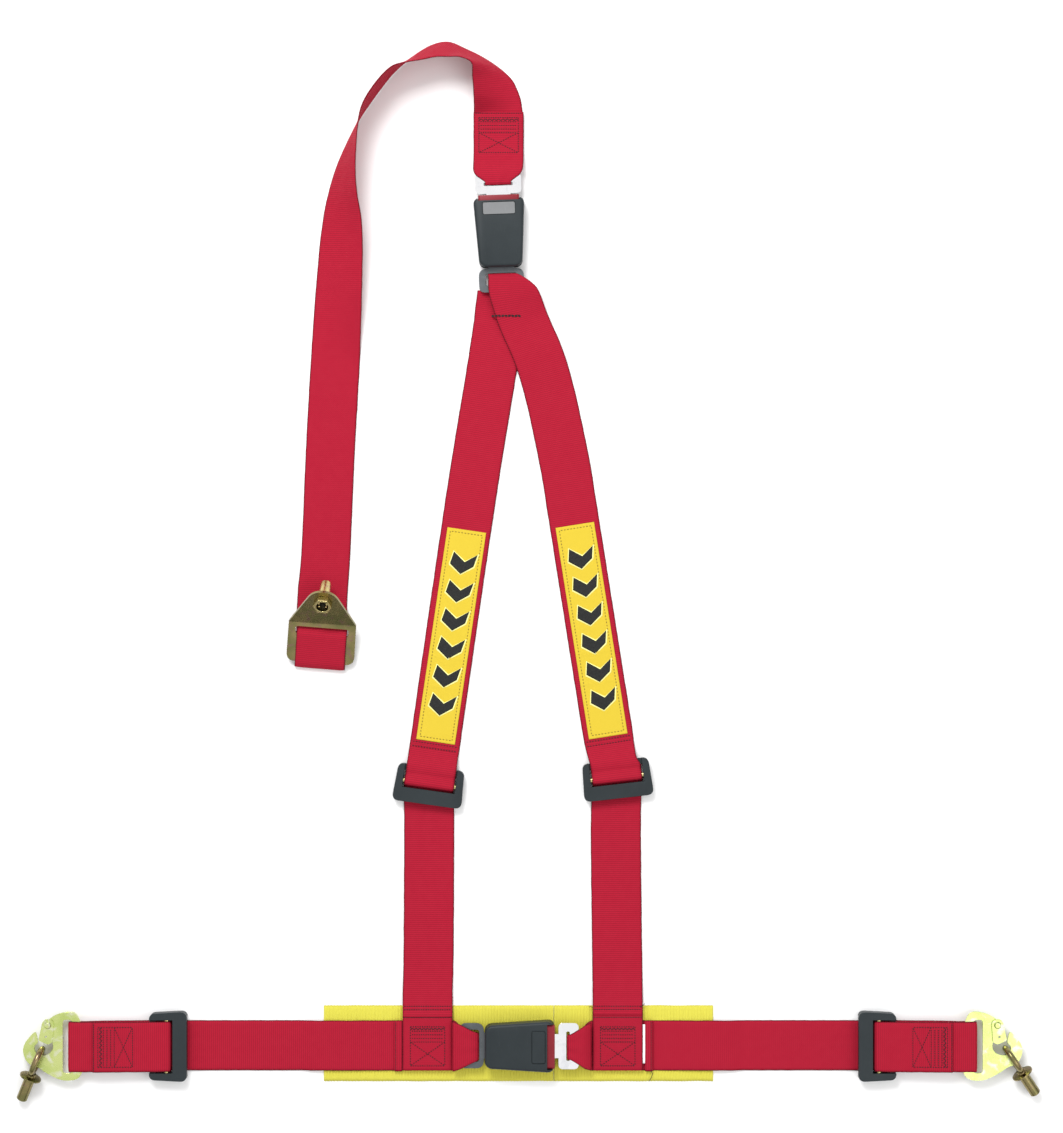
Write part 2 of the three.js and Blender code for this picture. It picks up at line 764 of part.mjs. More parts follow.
function eyeBolt() {
  const e = EYE;
  const ring = new THREE.TorusGeometry(e.ring, e.wire, 12, 36).rotateY(Math.PI / 2);
  const profile = [
    [0, 13.6],
    [4.6, 13.6],
    [5, 16.6],
    [e.collar, 17.4],
    [e.collar, 18.8],
    [8, 19.4],
    [e.shank, 19.6],
    [e.shank, e.length - 1],
    [e.shank - 1, e.length],
    [0, e.length],
  ].map(([x, y]) => new THREE.Vector2(x, y));
  const stem = new THREE.LatheGeometry(profile, 24).rotateX(Math.PI);
  return geometryOf(solid(ring).add(solid(stem)));
}

function hook(name, side, swing) {
  const group = new THREE.Group();
  group.position.set(LAP_MIDDLE_X + side * HOOK_RIVET_OUT, LAP_Y + HOOK_RIVET_UP, 0);
  harness.add(group);
  const mirrored = (geometry) => {
    if (side > 0) return geometryOf(solid(geometry).mirror([1, 0, 0]));
    return geometry;
  };
  place(`${name}_hook_plate`, mirrored(hookPlate()), "zinc", group);
  place(`${name}_keeper`, mirrored(keeper()), "zinc", group);
  place(`${name}_rivet`, mirrored(rivet()), "steel", group);
  const bolt = place(`${name}_eye_bolt`, eyeBolt(), "bronze", group);
  bolt.position.set(-side * swing.x, swing.y, EYE.height);
  bolt.rotation.set(rad(EYE.dip), 0, rad(side * swing.turn), "ZYX");
}

// Assembly.
anchor();
place("tether_webbing", tether(), "webbing");
buckle("top", TOP_BUCKLE, { half: 21, start: 31.5, panel: 17, reach: 36, insert: "insert" });
buckle("lap", LAP_BUCKLE, { half: 22.3, start: 27.5, panel: 12, reach: 34.2, insert: "plastic" });
place("left_shoulder_strap", leftShoulderStrap(), "webbing");
place("right_shoulder_strap", rightShoulderStrap(), "webbing");
adjuster("left_shoulder_adjuster", LEFT_ADJUSTER, 0);
adjuster("right_shoulder_adjuster", RIGHT_ADJUSTER, 0);
place("left_strap_end", strapEnd(-100.2, -444.6, -501.5), "webbing");
place("right_strap_end", strapEnd(89.6, -442.8, -501.5), "webbing");

const PATCHES = [
  ["left_patch", -76.7, -67.8, -8.4],
  ["right_patch", 63.5, -62.5, 9],
];
PATCHES.forEach(([name, x, y, turn]) => {
  const base = FLOOR_LAYER + HALF + GAP;
  const sewn = slab(rectangle(-19.5, 19.5, -107, 107, 1), base, base + 0.8);
  const cloth = place(name, geometryOf(sewn), "patch");
  cloth.position.set(x, y, 0);
  cloth.rotation.z = rad(turn);
});

const padEdge = LAP_Y - PAD_WIDTH / 2 + 2;
const seam = 25.6;
place("left_pad", geometryOf(block(-204, seam, padEdge, padEdge + PAD_WIDTH, 0, PAD_THICK)), "pad");
place("right_pad", geometryOf(block(seam + 0.5, 185, padEdge, padEdge + PAD_WIDTH, 0, PAD_THICK)), "pad");

place("left_lap_belt", lapBelt(-1, endAtLoop()), "webbing");
place("right_lap_belt", lapBelt(1, endAtTongue()), "webbing");
const lapAdjuster = (side) => ({ x: LAP_MIDDLE_X + side * LAP_ADJUSTER_OUT, y: LAP_Y, turn: -90 * side });
adjuster("left_lap_adjuster", lapAdjuster(-1), LAP_ADJUSTER_LIFT);
adjuster("right_lap_adjuster", lapAdjuster(1), LAP_ADJUSTER_LIFT);
hook("left", -1, { x: -10.3, y: -35.3, turn: 23 });
hook("right", 1, { x: -14.7, y: -33.4, turn: 34.3 });

// Centre the harness over the origin, with its lowest point on the bench.
harness.updateMatrixWorld(true);
const extent = new THREE.Box3().setFromObject(harness, true);
const centre = extent.getCenter(new THREE.Vector3());
harness.position.set(-centre.x, -centre.y, -extent.min.z);
harness.updateMatrixWorld(true);

export default harness;
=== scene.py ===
"""The looks of a racing harness that lies flat: webbing, pads, stitching, patches and hardware finishes.

It is laid out as an add-on. Each operator makes one piece or a group of like pieces, and main() runs
them all.
"""
import math

import bmesh
import bpy
from bpy.props import FloatProperty, FloatVectorProperty, PointerProperty
from bpy.types import Operator, Panel, PropertyGroup
from mathutils import Matrix, Vector, noise


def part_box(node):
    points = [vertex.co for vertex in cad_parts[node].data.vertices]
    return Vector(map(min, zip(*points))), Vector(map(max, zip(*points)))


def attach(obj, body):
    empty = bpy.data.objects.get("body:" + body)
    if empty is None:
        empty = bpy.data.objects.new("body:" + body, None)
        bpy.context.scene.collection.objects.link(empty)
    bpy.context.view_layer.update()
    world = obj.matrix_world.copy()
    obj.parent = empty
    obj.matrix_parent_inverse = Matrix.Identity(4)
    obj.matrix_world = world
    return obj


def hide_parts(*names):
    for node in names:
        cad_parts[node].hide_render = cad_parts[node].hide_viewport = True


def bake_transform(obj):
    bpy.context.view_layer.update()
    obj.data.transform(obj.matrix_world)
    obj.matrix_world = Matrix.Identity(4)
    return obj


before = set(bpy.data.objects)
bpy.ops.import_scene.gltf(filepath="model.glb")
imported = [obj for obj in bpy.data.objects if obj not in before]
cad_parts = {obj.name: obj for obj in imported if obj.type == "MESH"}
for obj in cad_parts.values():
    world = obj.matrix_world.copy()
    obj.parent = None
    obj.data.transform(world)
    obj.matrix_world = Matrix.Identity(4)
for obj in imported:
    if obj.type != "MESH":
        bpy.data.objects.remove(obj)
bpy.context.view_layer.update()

bl_info = {
    "name": "Racing Harness Looks",
    "version": (1, 0, 0),
    "blender": (4, 5, 0),
    "location": "3D View > Sidebar > Harness",
    "description": "Builds the webbing, pads, stitching and hardware finishes of a racing harness",
    "category": "Object",
}

# The harness is laid out in millimetres from the left pad's near corner, which the frame places.
MM = 0.001
PAD_CORNER = Vector((-204.0, -512.5, 0.0))
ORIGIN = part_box("left_pad")[0] - PAD_CORNER * MM

WEB_WIDTH = 50.0
WEB_THICK = 1.6
PAD_WIDTH = 75.0
PAD_THICK = 2.4
GAP = 0.4
HALF = WEB_THICK / 2
FLOOR_LAYER = 0.3 + HALF
SECOND_LAYER = FLOOR_LAYER + WEB_THICK + GAP
OVER_PAD = PAD_THICK + GAP + HALF
STRAP_END_LAYER = OVER_PAD + WEB_THICK + GAP

TOP_TONGUE_TURN = 2.0
LAP_MIDDLE_X = -5.25
LAP_Y = -477.0
LAP_ADJUSTER_OUT = 353.5
LAP_LIFT = 2.2
LEFT_ADJUSTER = (-98.7, -217.0, -8.0)
RIGHT_ADJUSTER = (89.0, -210.9, 6.5)
SLIDE_BAR = (-1.8, 5.2, 3.0)
TO_NARROW_BAR = [(-38, FLOOR_LAYER), (-27, 5), (-19.5, 8.2)]
STRAP_END_Y = -501.5
LEFT_STRAP_X = -100.2
RIGHT_STRAP_X = 89.6

# The buckles' bars that the webbing turns round: height of the middle, and half the thickness.
LOOP_BAR_Z = 6.5
LOOP_BAR_HALF = 1.5
TONGUE_BAR_Z = 9.6
TONGUE_BAR_HALF = 1.2
TONGUE_BAR_OUT = 50.6
TOP_BUCKLE_Y = 334.5
LAP_BUCKLE_X = -8.5
LAP_BUCKLE_Z = PAD_THICK + GAP

PATCH_SIZE = (39.0, 214.0)
PATCH_PLACES = {"left": (-76.7, -67.8, -8.4), "right": (63.5, -62.5, 9.0)}

WEAVE_MAP = "weave"


class HarnessWebbing(PropertyGroup):
    """The red straps and what is sewn on them."""

    colour: FloatVectorProperty(
        name="Webbing", description="Colour of the straps", subtype="COLOR", default=(0.47, 0.010, 0.034)
    )
    # Painted shade: the colour that the rib hollows darken to, also the colour that the cloth's uneven tone
    # drifts to.
    shade: FloatVectorProperty(
        name="Between ribs",
        description="Colour in the hollows",
        subtype="COLOR",
        default=(0.25, 0.008, 0.022),
    )
    selvedge: FloatVectorProperty(
        name="Selvedge",
        description="Colour of the bound edges",
        subtype="COLOR",
        default=(0.07, 0.008, 0.012),
    )
    thread: FloatVectorProperty(
        name="Thread", description="Colour of the stitching", subtype="COLOR", default=(0.040, 0.004, 0.010)
    )
    rib: FloatProperty(
        name="Rib pitch", description="Distance between the weave's ribs", unit="LENGTH", default=0.0020
    )


class HarnessPads(PropertyGroup):
    """The ribbed pads behind the lap buckle, and the sewn patches."""

    colour: FloatVectorProperty(
        name="Pad", description="Colour of the ribbed pads", subtype="COLOR", default=(0.84, 0.79, 0.12)
    )
    # Painted shade in the pad's rib hollows, also the colour that its uneven tone drifts to.
    rib_shade_and_tone: FloatVectorProperty(
        name="Pad hollows", description="Colour between ribs", subtype="COLOR", default=(0.46, 0.41, 0.035)
    )
    patch: FloatVectorProperty(
        name="Patch", description="Colour of the sewn patches", subtype="COLOR", default=(0.74, 0.55, 0.045)
    )
    ink: FloatVectorProperty(
        name="Motif",
        description="Colour of the patches' motif",
        subtype="COLOR",
        default=(0.010, 0.011, 0.010),
    )
    rib: FloatProperty(name="Pad rib", description="Width of one pad rib", unit="LENGTH", default=0.0030)


class HarnessHardware(PropertyGroup):
    """Plastic and plated steel."""

    plastic: FloatVectorProperty(
        name="Plastic", description="Cases and adjusters", subtype="COLOR", default=(0.0145, 0.0205, 0.0235)
    )
    button: FloatVectorProperty(
        name="Button", description="Release buttons", subtype="COLOR", default=(0.19, 0.007, 0.015)
    )
    zinc: FloatVectorProperty(
        name="Zinc",
        description="Pale yellow plating of the hooks",
        subtype="COLOR",
        default=(0.64, 0.71, 0.27),
    )
    bronze: FloatVectorProperty(
        name="Bronze", description="Dark plating", subtype="COLOR", default=(0.28, 0.225, 0.10)
    )
    edge: FloatProperty(
        name="Edge radius", description="How far sharp edges are rounded", unit="LENGTH", default=0.0006
    )


class HarnessStage(PropertyGroup):
    """Floor, lights and camera."""

    floor: FloatVectorProperty(
        name="Floor", description="Colour of the bench", subtype="COLOR", default=(0.93, 0.93, 0.93)
    )
    sky: FloatProperty(name="Sky", description="Strength of the soft light all round", default=0.82, min=0)
    key: FloatProperty(name="Key", description="Power of the main soft light", unit="POWER", default=62)
    lens: FloatProperty(name="Lens", description="Focal length in millimetres", default=100)


def settings():
    """The user's settings, which hang on the scene."""
    return bpy.context.scene


# Shader helpers.
def add(tree, kind, inputs=None, **attributes):
    """A shader node whose inputs are set to values, or linked where they are sockets."""
    made = tree.nodes.new(kind)
    for name, value in attributes.items():
        setattr(made, name, value)
    for name, value in (inputs or {}).items():
        if isinstance(value, bpy.types.NodeSocket):
            tree.links.new(value, made.inputs[name])
        elif hasattr(value, "__len__") and len(value) == 3 and made.inputs[name].type == "RGBA":
            made.inputs[name].default_value = (*value, 1)
        else:
            made.inputs[name].default_value = value
    return made


def calc(tree, operation, *values):
    """The result of one Math node."""
    return add(tree, "ShaderNodeMath", dict(enumerate(values)), operation=operation).outputs[0]


def blend_colours(tree, factor, first, second, mode="MIX"):
    """The result of one colour Mix node."""
    inputs = {"Factor": factor, 6: first, 7: second}
    made = add(tree, "ShaderNodeMix", inputs, data_type="RGBA", blend_type=mode)
    return made.outputs[2]


def group_tree(name, inputs, outputs):
    """A new node group with its named sockets, and its input and output nodes."""
    tree = bpy.data.node_groups.new(name, "ShaderNodeTree")
    for label, kind, default in inputs:
        socket = tree.interface.new_socket(label, in_out="INPUT", socket_type=kind)
        if default is not None:
            socket.default_value = default
    for label, kind in outputs:
        tree.interface.new_socket(label, in_out="OUTPUT", socket_type=kind)
    return tree, tree.nodes.new("NodeGroupInput").outputs, tree.nodes.new("NodeGroupOutput").inputs


def weave_group():
    """Cross ribs broken into yarns, with the two bound edges, from a strip's own coordinates."""
    tree, given, result = group_tree(
        "Woven ribs",
        [
            ("Place", "NodeSocketVector", None),
            ("Rib", "NodeSocketFloat", 0.002),
            ("Yarn", "NodeSocketFloat", 0.0011),
            ("Half Width", "NodeSocketFloat", 0.025),
        ],
        [("Shade", "NodeSocketFloat"), ("Height", "NodeSocketFloat"), ("Selvedge", "NodeSocketFloat")],
    )
    place = add(tree, "ShaderNodeSeparateXYZ", {0: given["Place"]})
    across, along = place.outputs[0], place.outputs[1]
    column = calc(tree, "FLOOR", calc(tree, "DIVIDE", across, given["Yarn"]))
    offset = calc(tree, "MULTIPLY", calc(tree, "PINGPONG", column, 1.0), 0.9)
    turns = calc(tree, "MULTIPLY", calc(tree, "DIVIDE", along, given["Rib"]), math.tau)
    rib = calc(tree, "MULTIPLY_ADD", calc(tree, "SINE", calc(tree, "ADD", turns, offset)), 0.5, 0.5)
    swing = calc(tree, "MULTIPLY", calc(tree, "DIVIDE", across, given["Yarn"]), math.pi)
    yarn = calc(tree, "ABSOLUTE", calc(tree, "SINE", swing))
    height = calc(tree, "MULTIPLY_ADD", yarn, 0.3, calc(tree, "MULTIPLY", rib, 0.7))
    bound_from = calc(tree, "SUBTRACT", given["Half Width"], 0.0011)
    beyond = calc(tree, "SUBTRACT", calc(tree, "ABSOLUTE", across), bound_from)
    edge = add(tree, "ShaderNodeMapRange", {0: beyond, 1: 0.0, 2: 0.0007, 3: 0.0, 4: 1.0}).outputs[0]
    loops = calc(tree, "MULTIPLY_ADD", calc(tree, "SINE", calc(tree, "MULTIPLY", turns, 0.8)), 0.22, 0.78)
    # Shade is used as painted shade: how far the colour darkens in the rib hollows.
    tree.links.new(height, result["Shade"])
    tree.links.new(height, result["Height"])
    tree.links.new(calc(tree, "MULTIPLY", edge, loops), result["Selvedge"])
    return tree


def drift_group():
    """Broad and fine unevenness, for colour and roughness that isn't the same all over."""
    tree, given, result = group_tree(
        "Uneven tone",
        [("Scale", "NodeSocketFloat", 20.0), ("Contrast", "NodeSocketFloat", 1.0)],
        [("Broad", "NodeSocketFloat"), ("Fine", "NodeSocketFloat")],
    )
    where = add(tree, "ShaderNodeTexCoord").outputs["Object"]
    for output, detail, factor in (("Broad", 3.0, 1.0), ("Fine", 2.0, 14.0)):
        scale = calc(tree, "MULTIPLY", given["Scale"], factor)
        cloud = add(tree, "ShaderNodeTexNoise", {"Vector": where, "Scale": scale, "Detail": detail})
        centred = calc(tree, "SUBTRACT", cloud.outputs[0], 0.5)
        spread = calc(tree, "MULTIPLY_ADD", calc(tree, "MULTIPLY", centred, given["Contrast"]), 2.0, 0.5)
        tree.links.new(add(tree, "ShaderNodeClamp", {0: spread}).outputs[0], result[output])
    return tree


def grain_group():
    """The fine sparked grain of moulded plastic, with scuffs that catch the light."""
    tree, given, result = group_tree(
        "Moulded grain",
        [("Grain", "NodeSocketFloat", 2600.0), ("Scuffs", "NodeSocketFloat", 0.5)],
        [("Height", "NodeSocketFloat"), ("Scuff", "NodeSocketFloat")],
    )
    where = add(tree, "ShaderNodeTexCoord").outputs["Object"]
    fine = add(tree, "ShaderNodeTexNoise", {"Vector": where, "Scale": given["Grain"], "Detail": 2.0})
    drawn_out = {"Vector": where, "Scale": (1.0, 0.12, 1.0), "Rotation": (0.0, 0.0, 0.7)}
    stretched = add(tree, "ShaderNodeMapping", drawn_out)
    marks = add(tree, "ShaderNodeTexNoise", {"Vector": stretched.outputs[0], "Scale": 900.0, "Detail": 3.0})
    scratch = add(tree, "ShaderNodeMapRange", {0: marks.outputs[0], 1: 0.62, 2: 0.74, 3: 0.0, 4: 1.0})
    tree.links.new(fine.outputs[0], result["Height"])
    tree.links.new(calc(tree, "MULTIPLY", scratch.outputs[0], given["Scuffs"]), result["Scuff"])
    return tree


def plating_group():
    """Passivated zinc: the base tint drifts to olive, straw and lilac, with small stains."""
    tree, given, result = group_tree(
        "Passivated plating",
        [
            ("Base", "NodeSocketColor", None),
            ("Olive", "NodeSocketColor", None),
            ("Lilac", "NodeSocketColor", None),
            ("Scale", "NodeSocketFloat", 45.0),
        ],
        [("Color", "NodeSocketColor"), ("Wear", "NodeSocketFloat")],
    )
    where = add(tree, "ShaderNodeTexCoord").outputs["Object"]
    cloud = add(tree, "ShaderNodeTexNoise", {"Vector": where, "Scale": given["Scale"], "Detail": 4.0})
    twice = calc(tree, "MULTIPLY", given["Scale"], 2.3)
    other = add(
        tree, "ShaderNodeTexNoise", {"Vector": where, "Scale": twice, "Detail": 3.0, "Distortion": 0.6}
    )
    fine = add(tree, "ShaderNodeTexNoise", {"Vector": where, "Scale": 700.0, "Detail": 3.0})
    olive = add(tree, "ShaderNodeMapRange", {0: cloud.outputs[0], 1: 0.42, 2: 0.62, 3: 0.0, 4: 0.85})
    lilac = add(tree, "ShaderNodeMapRange", {0: other.outputs[0], 1: 0.55, 2: 0.70, 3: 0.0, 4: 0.75})
    tinted = blend_colours(tree, olive.outputs[0], given["Base"], given["Olive"])
    stained = blend_colours(tree, lilac.outputs[0], tinted, given["Lilac"])
    tree.links.new(stained, result["Color"])
    tree.links.new(fine.outputs[0], result["Wear"])
    return tree


GROUP_MAKERS = {
    "Woven ribs": weave_group,
    "Uneven tone": drift_group,
    "Moulded grain": grain_group,
    "Passivated plating": plating_group,
}


def effect(tree, name, **inputs):
    """One of the shared groups placed in a material. Input names have their spaces written as underscores."""
    shared = bpy.data.node_groups.get(name) or GROUP_MAKERS[name]()
    named = {label.replace("_", " "): value for label, value in inputs.items()}
    return add(tree, "ShaderNodeGroup", named, node_tree=shared).outputs


def finish(name, **constants):
    """A new material, its node tree and its Principled shader with these fixed values."""
    material = bpy.data.materials.new(name)
    material.use_nodes = True
    shader = material.node_tree.nodes["Principled BSDF"]
    for label, value in constants.items():
        shader.inputs[label.replace("_", " ")].default_value = value
    return material, material.node_tree, shader


def relief(tree, shader, height, strength, distance):
    """Bump from a height into the shader's normal."""
    bump = add(tree, "ShaderNodeBump", {"Height": height, "Strength": strength, "Distance": distance})
    tree.links.new(bump.outputs[0], shader.inputs["Normal"])


def woven(name, colour, rib_shade_and_tone, edge, rib, yarn, half_width, drift=9.0):
    """Woven cloth on a strip."""
    material, tree, shader = finish(
        name, Specular_IOR_Level=0.12, Sheen_Weight=0.12, Sheen_Roughness=0.45, Sheen_Tint=(*colour, 1)
    )
    place = add(tree, "ShaderNodeUVMap", uv_map=WEAVE_MAP).outputs[0]
    ribs = effect(tree, "Woven ribs", Place=place, Rib=rib, Yarn=yarn, Half_Width=half_width)
    tone = effect(tree, "Uneven tone", Scale=drift, Contrast=0.8)
    # Painted shade: between the ribs the cloth's colour darkens towards the shade colour.
    cloth = blend_colours(tree, ribs["Shade"], (*rib_shade_and_tone, 1), (*colour, 1))
    faded = blend_colours(tree, calc(tree, "MULTIPLY", tone["Broad"], 0.16), cloth, (*rib_shade_and_tone, 1))
    flecked = blend_colours(tree, calc(tree, "MULTIPLY", tone["Fine"], 0.10), faded, (*rib_shade_and_tone, 1))
    bound = blend_colours(tree, ribs["Selvedge"], flecked, (*edge, 1))
    tree.links.new(bound, shader.inputs["Base Color"])
    rough = calc(tree, "MULTIPLY_ADD", tone["Fine"], 0.15, 0.72)
    tree.links.new(rough, shader.inputs["Roughness"])
    relief(tree, shader, ribs["Height"], 0.55, 0.00025)
    return material


def webbing_finish():
    s = settings().harness_webbing
    return woven("crimson webbing", s.colour, s.shade, s.selvedge, s.rib, 0.0011, WEB_WIDTH / 2 * MM)


def pad_finish():
    s = settings().harness_pads
    edge = tuple(0.8 * c for c in s.rib_shade_and_tone)
    half_width = PAD_WIDTH / 2 * MM + 0.001
    return woven("ribbed yellow webbing", s.colour, s.rib_shade_and_tone, edge, 0.0009, 0.0012, half_width, 22.0)


def patch_finish():
    s = settings().harness_pads
    # dark is painted shade in the patch cloth's rib hollows, and the colour of its edges.
    dark = tuple(0.8 * c for c in s.patch)
    return woven("yellow patch cloth", s.patch, dark, dark, 0.0007, 0.0007, 0.021, 30.0)


def thread_finish(name, colour):
    """Twisted thread."""
    material, tree, shader = finish(name, Specular_IOR_Level=0.2, Sheen_Weight=0.1)
    tone = effect(tree, "Uneven tone", Scale=160.0, Contrast=1.2)
    lighter = tuple(1.6 * c + 0.003 for c in colour)
    tree.links.new(
        blend_colours(tree, tone["Fine"], (*colour, 1), (*lighter, 1)), shader.inputs["Base Color"]
    )
    tree.links.new(calc(tree, "MULTIPLY_ADD", tone["Broad"], 0.2, 0.6), shader.inputs["Roughness"])
    relief(tree, shader, tone["Fine"], 0.3, 0.0001)
    return material


def print_finish(name, colour):
    """A printed or flocked motif."""
    material, tree, shader = finish(name, Specular_IOR_Level=0.18)
    tone = effect(tree, "Uneven tone", Scale=60.0, Contrast=1.0)
    worn = tuple(min(1.0, 1.25 * c + 0.012) for c in colour)
    tree.links.new(blend_colours(tree, tone["Fine"], (*colour, 1), (*worn, 1)), shader.inputs["Base Color"])
    tree.links.new(calc(tree, "MULTIPLY_ADD", tone["Broad"], 0.2, 0.5), shader.inputs["Roughness"])
    relief(tree, shader, tone["Fine"], 0.2, 0.0001)
    return material


def plastic_finish(name, colour, rough, grain=2600.0, grain_depth=0.35):
    """Moulded plastic."""
    material, tree, shader = finish(name, Specular_IOR_Level=0.26)
    grained = effect(tree, "Moulded grain", Grain=grain, Scuffs=0.55)
    tone = effect(tree, "Uneven tone", Scale=35.0, Contrast=1.0)
    lighter = tuple(min(1.0, 1.4 * c + 0.006) for c in colour)
    mottled = blend_colours(tree, calc(tree, "MULTIPLY", tone["Broad"], 0.5), (*colour, 1), (*lighter, 1))
    scuffed = blend_colours(tree, grained["Scuff"], mottled, (*lighter, 1))
    tree.links.new(scuffed, shader.inputs["Base Color"])
    shine = calc(tree, "MULTIPLY_ADD", tone["Fine"], 0.10, rough)
    tree.links.new(calc(tree, "MULTIPLY_ADD", grained["Scuff"], 0.12, shine), shader.inputs["Roughness"])
    relief(tree, shader, grained["Height"], grain_depth, 0.00012)
    return material


def plated_finish(name, base, olive, lilac, scale, metallic=1.0, rough=0.16, wear=0.22):
    """Plated steel whose passivation has stained it. wear is how much rougher it is in places."""
    material, tree, shader = finish(name, Metallic=metallic)
    plating = effect(
        tree, "Passivated plating", Base=(*base, 1), Olive=(*olive, 1), Lilac=(*lilac, 1), Scale=scale
    )
    tree.links.new(plating["Color"], shader.inputs["Base Color"])
    tree.links.new(calc(tree, "MULTIPLY_ADD", plating["Wear"], wear, rough), shader.inputs["Roughness"])
    relief(tree, shader, plating["Wear"], wear, 0.00008)
    return material


def hook_zinc():
    base = settings().harness_hardware.zinc
    return plated_finish("pale yellow zinc", base, (0.52, 0.62, 0.19), (0.80, 0.79, 0.66), 48.0)


def bronze_zinc():
    base = settings().harness_hardware.bronze
    return plated_finish("bronzed zinc", base, (0.17, 0.165, 0.065), (0.26, 0.15, 0.125), 60.0)


def bolt_zinc():
    return plated_finish("yellow zinc", (0.60, 0.50, 0.22), (0.46, 0.42, 0.17), (0.48, 0.30, 0.24), 70.0)


def bright_chrome():
    tints = ((0.95, 0.95, 0.96), (0.88, 0.89, 0.91), (0.80, 0.81, 0.84))
    return plated_finish("bright chrome", *tints, 30.0, rough=0.05, wear=0.08)


def dark_steel():
    tints = ((0.11, 0.12, 0.13), (0.085, 0.095, 0.10), (0.14, 0.15, 0.16))
    return plated_finish("dark coated steel", *tints, 50.0, metallic=0.6, rough=0.3, wear=0.12)


def black_plastic():
    return plastic_finish("blue black plastic", settings().harness_hardware.plastic, 0.40)


def red_plastic():
    return plastic_finish("dark red plastic", settings().harness_hardware.button, 0.30, 1800.0, 0.15)


def grey_insert():
    return plastic_finish("smooth grey insert", (0.17, 0.175, 0.18), 0.12, 900.0, 0.02)


# Mesh helpers.
def piece(name, points, faces, material, coordinates=None, smooth=True):
    """A mesh object from points in layout millimetres. coordinates are the points' weave places in metres."""
    mesh = bpy.data.meshes.new(name)
    mesh.from_pydata([Vector(p) * MM + ORIGIN for p in points], [], faces)
    body = bmesh.new()
    body.from_mesh(mesh)
    bmesh.ops.recalc_face_normals(body, faces=body.faces)
    body.to_mesh(mesh)
    body.free()
    if coordinates:
        weave = mesh.uv_layers.new(name=WEAVE_MAP)
        for corner in mesh.loops:
            weave.data[corner.index].uv = coordinates[corner.vertex_index]
    mesh.polygons.foreach_set("use_smooth", [smooth] * len(mesh.polygons))
    mesh.materials.append(material)
    made = bpy.data.objects.new(name, mesh)
    bpy.context.scene.collection.objects.link(made)
    return made


def edges(x, y, z, width=WEB_WIDTH, turn=0.0):
    """One station of a strap: its two edge points, square to a heading turned by turn degrees."""
    across = Vector((math.cos(math.radians(turn)), math.sin(math.radians(turn)), 0)) * (width / 2)
    middle = Vector((x, y, z))
    return middle + across, middle - across


def fold(s, z, radius, start, stop, width=WEB_WIDTH, steps=6):
    """Route points [s, z, width] round a bar."""
    turns = [math.radians(start + (stop - start) * i / steps) for i in range(steps + 1)]
    return [(s + radius * math.cos(a), z + radius * math.sin(a), width) for a in turns]


def routed(place, route):
    """Stations of a route that leaves place = (x, y, turn) at one heading."""
    x, y, turn = place
    ahead = (math.sin(math.radians(turn)), -math.cos(math.radians(turn)))
    padded = [(*point, WEB_WIDTH)[:3] for point in route]
    return [edges(x + s * ahead[0], y + s * ahead[1], z, width, turn) for s, z, width in padded]


def through_bars():
    """A strap's way through a shoulder adjuster: over the slide bar and under the wide bar."""
    u, z, radius = SLIDE_BAR
    return [
        (-13, 8.1),
        (-9.4, 6.9),
        (-6.6, 8.2),
        *fold(u, z, radius + GAP + HALF, 105, 0, steps=5),
        (2.5, 3.4),
        (3.6, 1.9),
        (6, 1.2),
    ]


